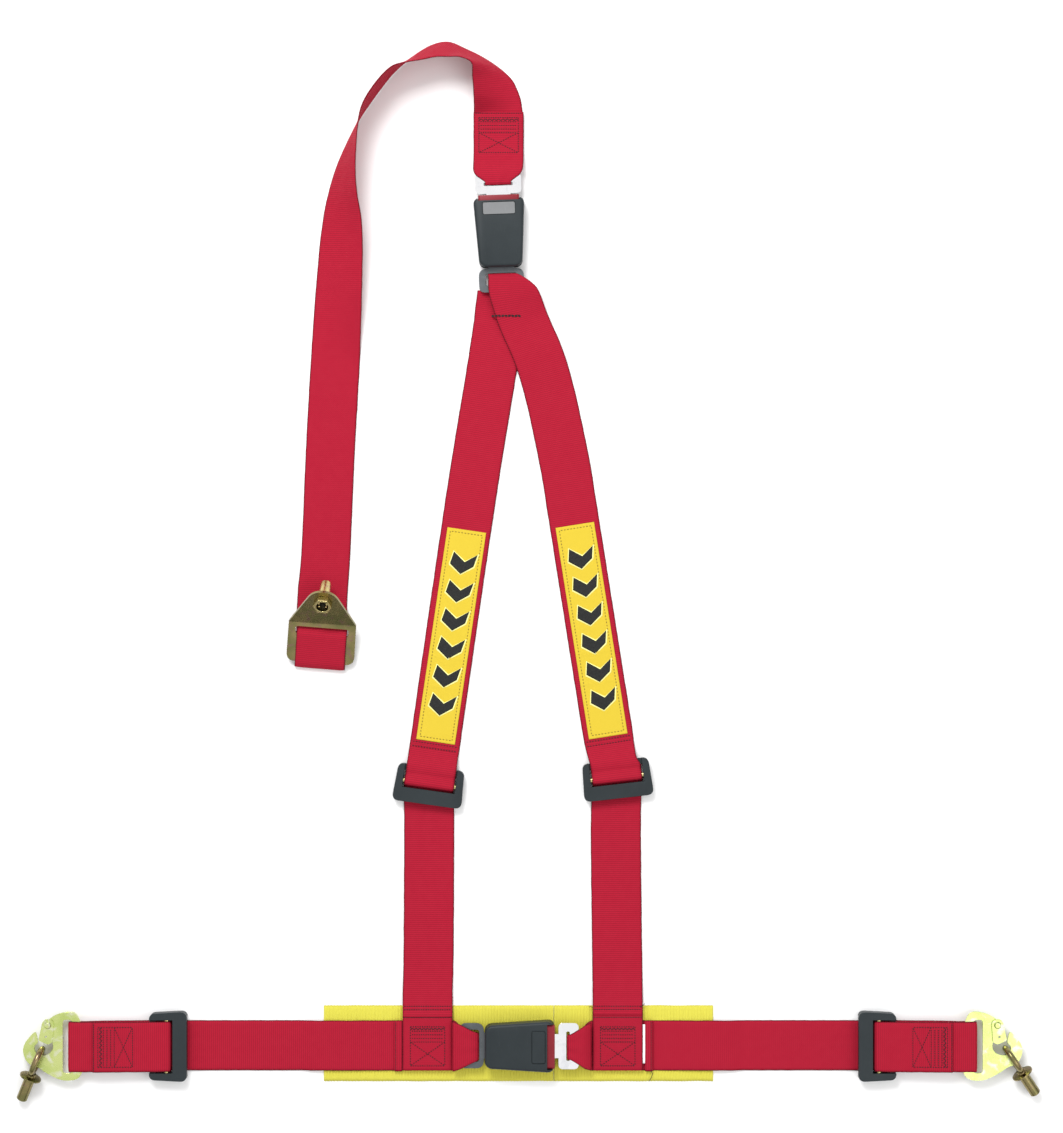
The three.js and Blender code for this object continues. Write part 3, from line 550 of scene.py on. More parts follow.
class Strip:
    """A strap's run as closely spaced cross-sections, in layout millimetres."""

    COLUMNS = 16
    STEP = 3.0

    def __init__(self, stations, thickness=WEB_THICK, pleat=2.2):
        self.thickness, self.pleat = thickness, pleat
        ends = [Vector((*a, *b)) for a, b in stations]
        smooth = self._smoothed(ends)
        self.rows, travelled, previous = [], 0.0, None
        widest = max((a - b).length for a, b in stations) / 2
        middles = [(Vector(p[:3]) + Vector(p[3:])) / 2 for p in smooth]
        for i, p in enumerate(smooth):
            a, b = Vector(p[:3]), Vector(p[3:])
            if previous is not None:
                travelled += (middles[i] - previous).length
            previous = middles[i]
            along = middles[min(i + 1, len(middles) - 1)] - middles[max(i - 1, 0)]
            normal = (b - a).cross(along).normalized()
            across = (a - b) / 2
            across.length = min(across.length, widest)
            self.rows.append((middles[i], across, normal, travelled))
        self.length = travelled

    def _smoothed(self, ends):
        """Centripetal spline through the stations, with more steps where the stations are far apart."""
        padded = [2 * ends[0] - ends[1], *ends, 2 * ends[-1] - ends[-2]]
        out = []
        for p0, p1, p2, p3 in zip(padded, padded[1:], padded[2:], padded[3:]):
            span = (p2 - p1).length / math.sqrt(2)
            count = max(2, math.ceil(span / self.STEP))
            knots = [0.0]
            for first, second in ((p0, p1), (p1, p2), (p2, p3)):
                knots.append(knots[-1] + max((second - first).length, 1e-3) ** 0.5)
            for k in range(count):
                t = knots[1] + (knots[2] - knots[1]) * k / count
                out.append(self._between((p0, p1, p2, p3), knots, t))
        out.append(ends[-1])
        for p in out:
            p[2], p[5] = max(p[2], FLOOR_LAYER), max(p[5], FLOOR_LAYER)
        return out

    @staticmethod
    def _between(points, knots, t):
        """The spline's value at t, between its two middle points."""

        def mix(low, high, start, stop):
            return low + (high - low) * ((t - start) / (stop - start))

        sides = [mix(points[i], points[i + 1], knots[i], knots[i + 1]) for i in range(3)]
        inner = [mix(sides[i], sides[i + 1], knots[i], knots[i + 2]) for i in range(2)]
        return mix(*inner, knots[1], knots[2])

    def surface(self, row, t, side):
        """A point on a face: t runs from -1 to 1 across, and side is 1 on the normal's face and -1 behind."""
        middle, across, normal, travelled = row
        edge = 1 - 0.55 * abs(t) ** 10
        squeeze = max(0.0, 1 - 2 * across.length / WEB_WIDTH)
        lift = Vector((0, 0, 0))
        if squeeze > 0.02 and middle.z > 8:
            lift.z = self.pleat * squeeze * (0.5 + 0.5 * math.cos(2.4 * math.pi * t)) * (1 - t * t)
        wander = 0.22 * noise.noise(Vector((travelled * 0.11, 3.1 * t, 0.7)))
        ripple = across.normalized() * (wander * abs(t) ** 6 * (1 if t > 0 else -1))
        return middle + across * t + normal * (side * self.thickness / 2 * edge) + lift + ripple

    def row_at(self, travelled):
        """The cross-section at a distance along the strap."""
        after = next((i for i, r in enumerate(self.rows) if r[3] >= travelled), len(self.rows) - 1)
        before = max(after - 1, 0)
        low, high = self.rows[before], self.rows[after]
        share = (travelled - low[3]) / max(high[3] - low[3], 1e-6)
        mixed = [low[k].lerp(high[k], min(max(share, 0), 1)) for k in range(3)]
        return (*mixed, travelled)

    def on(self, travelled, across, raise_by=0.0):
        """A point on the upper face at a distance along and a distance across in millimetres."""
        row = self.row_at(travelled)
        side = 1 if row[2].z >= 0 else -1
        t = across / row[1].length
        if row[1].x + row[1].y < 0:
            t = -t
        return self.surface(row, t, side) + row[2] * side * raise_by

    def above(self, x, y, reach=2.5):
        """How high the strip comes at a place seen from above, or 0 where it isn't."""
        spots = []
        for row in self.rows:
            middle, across = row[0], row[1]
            beside = (x - middle.x) * across.y - (y - middle.y) * across.x
            if abs(beside) < reach * across.length and math.hypot(x - middle.x, y - middle.y) < WEB_WIDTH:
                spots += [self.surface(row, k / 8, side) for k in range(-8, 9) for side in (-1, 1)]
        return max((p.z for p in spots if math.hypot(p.x - x, p.y - y) < reach), default=0.0)

    def mesh(self):
        """Points, faces and weave places of the closed strip."""
        steps = [1 - 2 * j / self.COLUMNS for j in range(self.COLUMNS + 1)]
        ring = [(t, 1) for t in steps] + [(t, -1) for t in reversed(steps)]
        points = [self.surface(row, t, side) for row in self.rows for t, side in ring]
        places = [(t * WEB_WIDTH / 2 * MM, row[3] * MM) for row in self.rows for t, _ in ring]
        size = len(ring)
        faces = []
        for i in range(len(self.rows) - 1):
            for j in range(size):
                k = (j + 1) % size
                faces.append((size * i + j, size * i + k, size * (i + 1) + k, size * (i + 1) + j))
        faces.append(tuple(range(size)))
        faces.append(tuple(reversed(range(size * (len(self.rows) - 1), size * len(self.rows)))))
        return points, faces, places


class Stitches:
    """Short threads gathered into one mesh."""

    SIDES = 6

    def __init__(self, radius=0.48):
        self.radius = radius
        self.points, self.faces = [], []

    def one(self, start, end):
        """One stitch: a thread that dips into the cloth at both ends."""
        along = end - start
        if along.length < 1e-6:
            return
        side = along.cross(Vector((0, 0, 1)))
        side = side.normalized() if side.length > 1e-6 else Vector((1, 0, 0))
        up = side.cross(along).normalized()
        first = len(self.points)
        profile = ((0.0, 0.35, -0.30), (0.2, 0.9, 0.0), (0.5, 1.0, 0.12), (0.8, 0.9, 0.0), (1.0, 0.35, -0.30))
        for share, wide, rise in profile:
            centre = start + along * share + up * rise * self.radius * 1.6
            for k in range(self.SIDES):
                turn = math.tau * k / self.SIDES
                outward = side * math.cos(turn) + up * math.sin(turn)
                self.points.append(centre + outward * self.radius * wide)
        for i in range(len(profile) - 1):
            for k in range(self.SIDES):
                n = (k + 1) % self.SIDES
                low, high = first + i * self.SIDES, first + (i + 1) * self.SIDES
                self.faces.append((low + k, low + n, high + n, high + k))
        self.faces.append(tuple(first + k for k in reversed(range(self.SIDES))))
        last = first + (len(profile) - 1) * self.SIDES
        self.faces.append(tuple(last + k for k in range(self.SIDES)))

    def run(self, where, start, end, pitch=3.0, filled=0.66):
        """A row of stitches between two places, which where() turns into points."""
        length = math.dist(start, end)
        count = max(1, round(length / pitch))
        for i in range(count):
            low, high = i / count, (i + filled) / count
            ends = [tuple(a + (b - a) * share for a, b in zip(start, end)) for share in (low, high)]
            self.one(where(*ends[0]), where(*ends[1]))

    def box_and_cross(self, where, s0, s1, half, lead=4.2):
        """The sewn box of a load-bearing seam: outline, rows of stitches at one end, a cross in the rest."""
        rows, row_gap = 3, 3.6
        crossed = s0 + math.copysign(lead + rows * row_gap, s1 - s0)
        for s in (s0, s1):
            self.run(where, (s, -half), (s, half), 2.3)
        for t in (-half, half):
            self.run(where, (s0, t), (s1, t), 2.6)
        for k in range(rows + 1):
            s = s0 + math.copysign(lead + k * row_gap, s1 - s0)
            self.run(where, (s, -half + 1.5), (s, half - 1.5), 2.3)
        self.run(where, (crossed, -half), (s1, half), 2.6)
        self.run(where, (crossed, half), (s1, -half), 2.6)
        teeth = 9
        zig = lead / 2
        middle = s0 + math.copysign(zig, s1 - s0)
        for k in range(teeth * 2):
            t0, t1 = (-half + half * (k + j) / teeth for j in (0, 1))
            first, second = (middle + zig / 2 * (-1) ** (k + j) for j in (0, 1))
            self.one(where(first, t0), where(second, t1))

    def loose(self, points):
        """A loose thread end through given points."""
        for a, b in zip(points, points[1:]):
            self.one(Vector(a), Vector(b) + (Vector(b) - Vector(a)) * 0.25)

    def made(self, name, material, body, slot="webbing"):
        """The mesh object, riding on a body."""
        sewn = piece(name, self.points, self.faces, material)
        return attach(sewn, body)


def shared(name, maker):
    """A material that several pieces use, made once."""
    return bpy.data.materials.get(name) or maker()


def red_webbing():
    return shared("crimson webbing", webbing_finish)


def red_thread():
    colour = settings().harness_webbing.thread
    return shared("dark red thread", lambda: thread_finish("dark red thread", colour))


def black_thread():
    return shared("black thread", lambda: thread_finish("black thread", (0.012, 0.010, 0.012)))


def strap(name, strip, nodes, body=None):
    """A strip's mesh as a sheet of webbing that stands for its nodes, whose imported parts it hides."""
    points, faces, places = strip.mesh()
    made = piece(name, points, faces, red_webbing(), places)
    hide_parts(*nodes)
    if body:
        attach(made, body)
    return made


# Routes. They repeat the straps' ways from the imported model.
# The tether's bend: x and y of the edge on the floor, then of the edge that lifts off it.
TETHER_BEND = [
    (-5, 452, -54, 452),
    (-8, 471, -54, 470),
    (-16, 488, -55, 487),
    (-29, 500, -56, 499),
    (-44, 510, -67, 504),
    (-62, 519, -77, 504),
    (-80, 526, -91, 504),
    (-98, 522, -106, 501),
    (-118, 509, -120, 498),
    (-133, 496, -134, 494),
    (-147, 479, -150, 478),
    (-160, 461, -163, 457),
    (-170, 446, -167, 440),
    (-181, 425, -169, 418),
    (-191, 402, -170, 396),
    (-198, 380, -169, 373),
    (-204, 353, -165, 347),
    (-208, 323, -164, 320),
    (-212, 278, -165, 277),
    (-217, 208, -168, 208),
    (-222, 118, -173, 118),
    (-227, 8, -178, 8),
]
ANCHOR = (-207.5, -94.0, 4.4)
ANCHOR_TURN = -4.6
PLATE_ROLL = [(-1.5, -2.4), (-4.6, -1.6), (-5.9, 0.1), (-5.2, 2), (-2.8, 3.7), (0.8, 4.5), (5, 4.6)]
PLATE_SLOT = [(25, 4.5), (29.5, 4.2), (31.6, 2.6), (33.4, -0.5), (35.5, -3.5), (40, -7.5)]
ANCHOR_TILT = math.radians(14)
PLATE_BEND = 26
PLATE_BEND_AT = 41
PLATE_HOLE_UP = 29


def beside_plate(s, h, width=WEB_WIDTH):
    """A station beside the anchor plate: s up the plate from its lower edge, h above its underside."""
    x, y, z = ANCHOR
    run = s * math.cos(ANCHOR_TILT) - h * math.sin(ANCHOR_TILT)
    height = z + s * math.sin(ANCHOR_TILT) + h * math.cos(ANCHOR_TILT)
    turn = math.radians(ANCHOR_TURN)
    return edges(x - run * math.sin(turn), y + run * math.cos(turn), height, width, ANCHOR_TURN)


def tether_bend():
    """The stretch that stands on edge: floor edge and lifted edge."""
    stations = []
    for ax, ay, bx, by in TETHER_BEND:
        spread = math.hypot(ax - bx, ay - by)
        rise = math.sqrt(max(WEB_WIDTH**2 - spread**2, 0)) if spread <= 48 else 0.0
        stations.append((Vector((ax, ay, FLOOR_LAYER)), Vector((bx, by, FLOOR_LAYER + rise))))
    return stations


def tether_strip():
    bar_y = TOP_BUCKLE_Y + TONGUE_BAR_OUT
    radius = TONGUE_BAR_HALF + GAP + HALF
    turn = TOP_TONGUE_TURN
    around = [edges(-29.9, y, z, w, turn) for y, z, w in fold(bar_y, TONGUE_BAR_Z, radius, 90, 270, 26)]
    before = [
        edges(-29.3, 455.6, SECOND_LAYER),
        edges(-29.3, 425, SECOND_LAYER),
        edges(-29.3, 414, 4.4),
        edges(-29.5, 405, 8.8),
        edges(-29.8, 396.5, 12.2, 49, turn),
        edges(-29.8, 392.5, 12.6, 45, turn),
        edges(-29.9, 388.3, 12.4, 34, turn),
        *around,
        edges(-29.8, 393, 6.6, 42, turn),
        edges(-29.5, 404, 3, 50),
        edges(-29.3, 412, FLOOR_LAYER),
        edges(-29.4, 436, FLOOR_LAYER),
        *tether_bend(),
    ]
    # The bend turns the strap half round, so past it the two edges change places.
    past = [
        edges(-205, -22, FLOOR_LAYER + 0.2, WEB_WIDTH, -1),
        edges(-206.5, -55, FLOOR_LAYER + 0.5, WEB_WIDTH, -3),
        beside_plate(8, -1.5),
        *[beside_plate(s, h) for s, h in PLATE_ROLL + PLATE_SLOT],
        edges(-205.6, -38, SECOND_LAYER + 0.9, WEB_WIDTH, -2),
    ]
    return Strip(before + [(b, a) for a, b in past])


def hem_and_end(x, hem_y):
    """The sewn hem above the lap belt, and the end that lies across it."""
    return [
        edges(x, hem_y + 22, 2.6),
        edges(x, hem_y + 9, OVER_PAD + 0.3),
        edges(x, hem_y + 3.5, 5.2),
        edges(x, hem_y, 6.9),
        edges(x, hem_y - 1.9, 6.7),
        edges(x, hem_y - 2.7, 5.6),
        edges(x, hem_y - 4, STRAP_END_LAYER),
        edges(x, hem_y - 14, STRAP_END_LAYER),
        edges(x, STRAP_END_Y, STRAP_END_LAYER),
    ]


def left_shoulder_strip():
    stations = [
        edges(-29.4, 276.5, 1.9, 42, -3),
        edges(-28.4, 268, 1.4, 46, -5),
        edges(-28.1, 256, FLOOR_LAYER, WEB_WIDTH, -8),
        edges(-57.4, 68, FLOOR_LAYER, WEB_WIDTH, -8.4),
        *routed(LEFT_ADJUSTER, TO_NARROW_BAR + through_bars()),
        edges(-98.9, -240, FLOOR_LAYER, WEB_WIDTH, -2),
        edges(-99.6, -400, FLOOR_LAYER),
        *hem_and_end(LEFT_STRAP_X, -445.5),
    ]
    return Strip(stations)


def right_shoulder_strip():
    stations = [
        edges(-26.4, 282, 2.6, 27, 2),
        edges(-26.3, 289.5, 2.6, 27, 2),
        edges(-26.2, 292.6, 4.2, 27, 2),
        edges(-26, 293.3, 6.6, 27, 2),
        edges(-25.3, 292.9, 9.6, 29.5, 2),
        edges(-22.8, 291, 10.8, 33.5, 1),
        edges(-18.9, 286.5, 11.2, 41, 0),
        edges(-15.6, 279.5, 10.8, 48, 2),
        edges(-12.8, 271, 9.4, WEB_WIDTH, 7),
        edges(-9.4, 261, 7, WEB_WIDTH, 12),
        edges(-4.5, 247, 4.4, WEB_WIDTH, 17),
        edges(11, 211, SECOND_LAYER, WEB_WIDTH, 16.7),
        edges(21.5, 176, FLOOR_LAYER, WEB_WIDTH, 14),
        edges(30, 138, FLOOR_LAYER, WEB_WIDTH, 11.5),
        edges(38, 98, FLOOR_LAYER, WEB_WIDTH, 9.6),
        edges(42.8, 68, FLOOR_LAYER, WEB_WIDTH, 9),
        edges(79, -160, FLOOR_LAYER, WEB_WIDTH, 8.4),
        edges(81.6, -176, 1.6, 49, 8.6),
        edges(83.3, -185, 5, 48, 8.4),
        edges(85, -191.8, 8.2, 47, 7.6),
        *routed(RIGHT_ADJUSTER, through_bars()),
        edges(88.2, -234, FLOOR_LAYER, WEB_WIDTH, 2),
        edges(89.3, -400, FLOOR_LAYER),
        *hem_and_end(RIGHT_STRAP_X, -443.5),
    ]
    return Strip(stations)


def lap_strip(side, inner):
    """Half of the lap belt: from its sewn flap round the slide bar, through the hook and in to the buckle."""
    u, z, radius = SLIDE_BAR
    route = [
        (-74.5, 15.3),
        (-50, 14.4),
        (-24, 13),
        (-19, 12.4),
        (-9, 12.4),
        *fold(u, z + LAP_LIFT, radius + GAP + HALF, 90, -90),
        (-5.5, 3.2),
        (-11.2, 10.3),
        (-19, 10.4),
        (-24, 11),
        (-50, 12.4),
        (-74.5, 13.2),
        *fold(-96.05, 10.5, 1.5 + GAP + HALF, 90, 270),
        (-85.7, 7.8),
        (-60, 3.6),
        (-35, FLOOR_LAYER),
        (130, FLOOR_LAYER),
        (150, OVER_PAD),
    ]
    outward = [(LAP_ADJUSTER_OUT - p[0], *p[1:]) for p in route] + list(inner)
    padded = [(*p, WEB_WIDTH)[:3] for p in outward]
    return Strip([edges(LAP_MIDDLE_X + side * out, LAP_Y, z, width, 90) for out, z, width in padded])


def end_at_loop():
    z = LAP_BUCKLE_Z + LOOP_BAR_Z
    radius = LOOP_BAR_HALF + GAP + HALF
    return [
        (68.2, OVER_PAD),
        (61, z - radius, 36),
        (52, z - radius - 0.8, 28),
        (46.4, z - radius - 0.2, 27),
        (44.6, z - 0.9, 27),
        (44.5, z + 1.2, 27),
        (46.2, z + radius + 0.2, 29),
        (50, z + radius + 1.2, 32),
        (57, z + radius + 1.2, 39),
        (64, z + radius + 0.4, 46),
        (69.8, z + 1),
    ]


def end_at_tongue():
    z = LAP_BUCKLE_Z + TONGUE_BAR_Z
    radius = TONGUE_BAR_HALF + GAP + HALF
    bar = LAP_BUCKLE_X + TONGUE_BAR_OUT - LAP_MIDDLE_X
    return [
        (68.4, OVER_PAD),
        (58, z - radius, 33),
        *fold(bar, z, radius, 270, 90, 25),
        (56, z + radius + 0.3, 35),
        (62, z + radius - 0.8, 43),
        (68, 10, 48),
    ]


# Stage.
class HARNESS_OT_stage(Operator):
    """Pale floor, soft studio light and a camera straight above the harness"""

    bl_idname = "harness.stage"
    bl_label = "Stage"

    # In metres: the floor's half width, and the height and middle of what the camera takes in.
    FLOOR_REACH = 30.0
    VIEW_TALL = 1.133
    VIEW_MIDDLE = (0.0032, 0.0043)

    def execute(self, context):
        s = settings().harness_stage
        mesh = bpy.data.meshes.new("floor")
        reach = self.FLOOR_REACH
        corners = [(-reach, -reach, 0), (reach, -reach, 0), (reach, reach, 0), (-reach, reach, 0)]
        mesh.from_pydata(corners, [], [(0, 1, 2, 3)])
        floor = bpy.data.objects.new("floor", mesh)
        context.scene.collection.objects.link(floor)
        material, tree, shader = finish("pale bench", Specular_IOR_Level=0.1, Roughness=0.9)
        tone = effect(tree, "Uneven tone", Scale=2.0, Contrast=0.5)
        dim = tuple(0.985 * c for c in s.floor)
        shade = blend_colours(tree, tone["Broad"], (*s.floor, 1), (*dim, 1))
        tree.links.new(shade, shader.inputs["Base Color"])
        mesh.materials.append(material)
        self.lights(context, s)
        self.camera(context, s)
        context.scene.view_settings.view_transform = "Standard"
        return {"FINISHED"}

    def lights(self, context, s):
        world = bpy.data.worlds.new("studio")
        world.use_nodes = True
        tree = world.node_tree
        direction = add(tree, "ShaderNodeTexCoord").outputs["Generated"]
        parts = add(tree, "ShaderNodeSeparateXYZ", {0: direction})
        height = add(tree, "ShaderNodeMapRange", {0: parts.outputs[2], 1: 0.05, 2: 0.55, 3: 0.14, 4: 1.17})
        tree.links.new(
            calc(tree, "MULTIPLY", height.outputs[0], s.sky), tree.nodes["Background"].inputs["Strength"]
        )
        tree.nodes["Background"].inputs["Color"].default_value = (1.0, 1.0, 1.0, 1)
        context.scene.world = world
        for name, place, width, power in (
            ("key", (-0.7, 1.7, 2.3), 1.1, s.key),
            ("fill", (1.6, -0.9, 2.6), 2.0, 0.25 * s.key),
        ):
            lamp = bpy.data.lights.new(name, "AREA")
            lamp.energy, lamp.size = power, width
            holder = bpy.data.objects.new(name, lamp)
            holder.location = place
            holder.rotation_mode = "QUATERNION"
            holder.rotation_quaternion = (-Vector(place)).to_track_quat("-Z", "Y")
            context.scene.collection.objects.link(holder)

    def camera(self, context, s):
        view = bpy.data.cameras.new("camera")
        view.lens, view.sensor_width = s.lens, 36.0
        view.clip_end = 50
        holder = bpy.data.objects.new("camera", view)
        holder.location = (*self.VIEW_MIDDLE, self.VIEW_TALL * s.lens / view.sensor_width)
        context.scene.collection.objects.link(holder)
        context.scene.camera = holder


# Straps.
class HARNESS_OT_tether(Operator):
    """Head tether: webbing on edge round its bend, with the sewn flap at the tongue"""

    bl_idname = "harness.tether"
    bl_label = "Head Tether"

    def execute(self, context):
        strip = tether_strip()
        sewing = Stitches()
        sewing.box_and_cross(lambda s, t: strip.on(s, t, 0.1), 5.6, 41.1, 19.7)
        sewing.run(lambda s, t: strip.on(s, t, 0.1), (1.2, -23.5), (1.2, 23.5), 2.2, 0.8)
        sewn = sewing.made("tether_stitching", red_thread(), "tether")
        strap(
            "tether_strap",
            strip,
            ["tether_webbing"],
            "tether",
        )
        return {"FINISHED"}


class HARNESS_OT_shoulder_straps(Operator):
    """Shoulder straps from the top buckle's loop, through the adjusters and down across the lap belt"""

    bl_idname = "harness.shoulder_straps"
    bl_label = "Shoulder Straps"

    # The stretch of the right strap that gives when the lap buckle opens; nothing in this script reads it.
    GIVES = (-262, -425)

    def execute(self, context):
        left, right = left_shoulder_strip(), right_shoulder_strip()
        for side, strip, body in (("left", left, "harness"), ("right", right, "right_half")):
            end = Stitches()
            base = strip.length

            def where(s, t, strip=strip):
                return strip.on(s, t, 0.1)

            end.box_and_cross(where, base - 43.8, base - 4.8, 17.2, lead=4.4)
            for back in (65.0, 61.5):
                end.run(where, (base - back, -23.6), (base - back, 23.6), 2.4, 0.75)
            sewn = end.made(f"{side}_strap_end_stitching", red_thread(), body)
            # Painted shadow: the dark line at the hem's step, drawn as a row of black thread.
            seam = Stitches(0.38)
            seam.run(where, (base - 53.3, -24.4), (base - 53.3, 24.4), 2.4, 0.95)
            seam.made(f"{side}_strap_hem_shadow_line", black_thread(), body)
            nodes = [f"{side}_shoulder_strap", f"{side}_strap_end"]
            if side == "left":
                strap("left_shoulder_webbing", strip, nodes, "harness")
                continue
            made = strap("right_shoulder_webbing", strip, nodes)
            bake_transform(made)
        self.bar_tack(left, right)
        return {"FINISHED"}

    def bar_tack(self, *strips):
        """The dark seam that closes the right strap's turn round the loop."""
        tack = Stitches(0.5)
        for row in range(2):
            for k in range(9):
                ends = [
                    (-36.5 + 3.3 * k + reach, 252.2 - 0.9 * row + 0.25 * (-1) ** (k + turn))
                    for turn, reach in enumerate((0.0, 2.9))
                ]
                start, stop = (Vector((x, y, max(s.above(x, y) for s in strips) + 0.2)) for x, y in ends)
                tack.one(start, stop)
        tack.made("yoke_bar_tack", black_thread(), "harness")


class HARNESS_OT_lap_belts(Operator):
    """Both halves of the lap belt with their sewn flaps and hems"""

    bl_idname = "harness.lap_belts"
    bl_label = "Lap Belts"

    def execute(self, context):
        for side, sign, body, inner in (
            ("left", -1, "harness", end_at_loop()),
            ("right", 1, "right_half", end_at_tongue()),
        ):
            strip = lap_strip(sign, inner)

            def where(s, t, strip=strip):
                return strip.on(s, t, 0.1)

            sewing = Stitches()
            sewing.box_and_cross(where, 5.2, 39.6, 19.8, lead=5.5)
            sewing.run(where, (0.9, -23.5), (0.9, 23.5), 2.2, 0.8)
            sewn = sewing.made(f"{side}_flap_stitching", red_thread(), body)
            strap(
                f"{side}_lap_belt_strap",
                strip,
                [f"{side}_lap_belt"],
                body,
            )
            self.hem(side, body)
        return {"FINISHED"}

    def hem(self, side, body):
        """A turned hem beside the strap end, with its row of thread."""
        outer = {"left": (-133.5, -125.6), "right": (117.0, 124.6)}[side]
        top = OVER_PAD + HALF + 0.05
        half = WEB_WIDTH / 2 + 0.4
        rises = ((outer[0], 0.35), (sum(outer) / 2, 0.8), (outer[1], 0.35))
        stations = [
            tuple(Vector((x, LAP_Y + across, top + rise)) for across in (half, -half)) for x, rise in rises
        ]
        points, faces, places = Strip(stations, 1.1, 0).mesh()
        turned = piece(f"{side}_hem", points, faces, red_webbing(), places)
        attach(turned, body)
        thread = Stitches(0.3)
        seam = outer[0] + 1.6 if side == "left" else outer[1] - 1.6
        lift = top + 1.35
        ends = [(seam, LAP_Y + side_y * (half - 1)) for side_y in (-1, 1)]
        thread.run(lambda x, y: Vector((x, y, lift)), *ends, 2.4, 0.8)
        if side == "right":
            thread.loose([(123, -501.4, 5.6), (124.4, -505, 4.2), (123.4, -508.6, 3.4), (121.4, -512.0, 3.3)])
            thread.loose([(112, -438.2, 6.0), (115.2, -436.4, 5.2), (116.6, -434.9, 4.6)])
            thread.loose([(65, -439, 6.0), (62.4, -437.6, 5.0), (61.4, -438.4, 4.4)])
            self.slit(body)
        thread.made(f"{side}_hem_stitching", black_thread(), body)

    def slit(self, body):
        """A thin white strip that shows between the right strap end and the hem."""
        label = Strip([edges(115.6, y, 5.2, 2.6) for y in (-455.5, -475, -494.5)], 0.6, 0)
        points, faces, places = label.mesh()
        white_slit_finish = shared("white slit cloth", lambda: print_finish("white slit cloth", (0.86, 0.86, 0.85)))
        made = piece("right_white_slit", points, faces, white_slit_finish, places)
        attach(made, body)


class HARNESS_OT_pads(Operator):
    """Ribbed yellow pads behind the lap buckle"""

    bl_idname = "harness.pads"
    bl_label = "Ribbed Pads"

    def execute(self, context):
        cloth = pad_finish()
        rib = settings().harness_pads.rib / MM
        for side, body, raised in (("left", "harness", 0.0), ("right", "right_half", 0.5)):
            low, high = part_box(f"{side}_pad")
            first, last = (low - ORIGIN) / MM, (high - ORIGIN) / MM
            made = self.ribbed(f"{side}_pad_webbing", first, last, rib, raised, cloth)
            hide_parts(f"{side}_pad")
            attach(made, body)
        return {"FINISHED"}

    def ribbed(self, name, first, last, rib, raised, cloth):
        """A flat ribbed strip. Its ribs run across it, and its edges swell at each rib."""
        columns, per_rib = 24, 6
        count = round((last.x - first.x) / rib * per_rib)
        middle_y, half = (first.y + last.y) / 2, (last.y - first.y) / 2
        thick = 1.85
        ring_t = [1 - 2 * j / columns for j in range(columns + 1)]
        ring = [(t, 1) for t in ring_t] + [(t, 0) for t in reversed(ring_t)]
        points, places = [], []
        for i in range(count + 1):
            x = first.x + (last.x - first.x) * i / count
            crown = abs(math.sin(math.pi * (x - first.x) / rib))
            near_end = max(0.0, 1 - (x - first.x) / 4.0)
            for t, upper in ring:
                fade = 1 - abs(t) ** 12
                bulge = half + 0.45 * crown + 0.35 * noise.noise(Vector((x * 0.05, t, 2.0)))
                z = upper * (thick - 0.45 + 0.85 * crown * fade + 0.3 * raised * near_end - 0.5 * (1 - fade))
                points.append(Vector((x, middle_y + bulge * t, z + 0.02)))
                places.append((half * t * MM, x * MM))
        size = len(ring)
        faces = []
        for i in range(count):
            for j in range(size):
                k = (j + 1) % size
                faces.append((size * i + j, size * i + k, size * (i + 1) + k, size * (i + 1) + j))
        faces.append(tuple(range(size)))
        faces.append(tuple(reversed(range(size * count, size * (count + 1)))))
        return piece(name, points, faces, cloth, places)


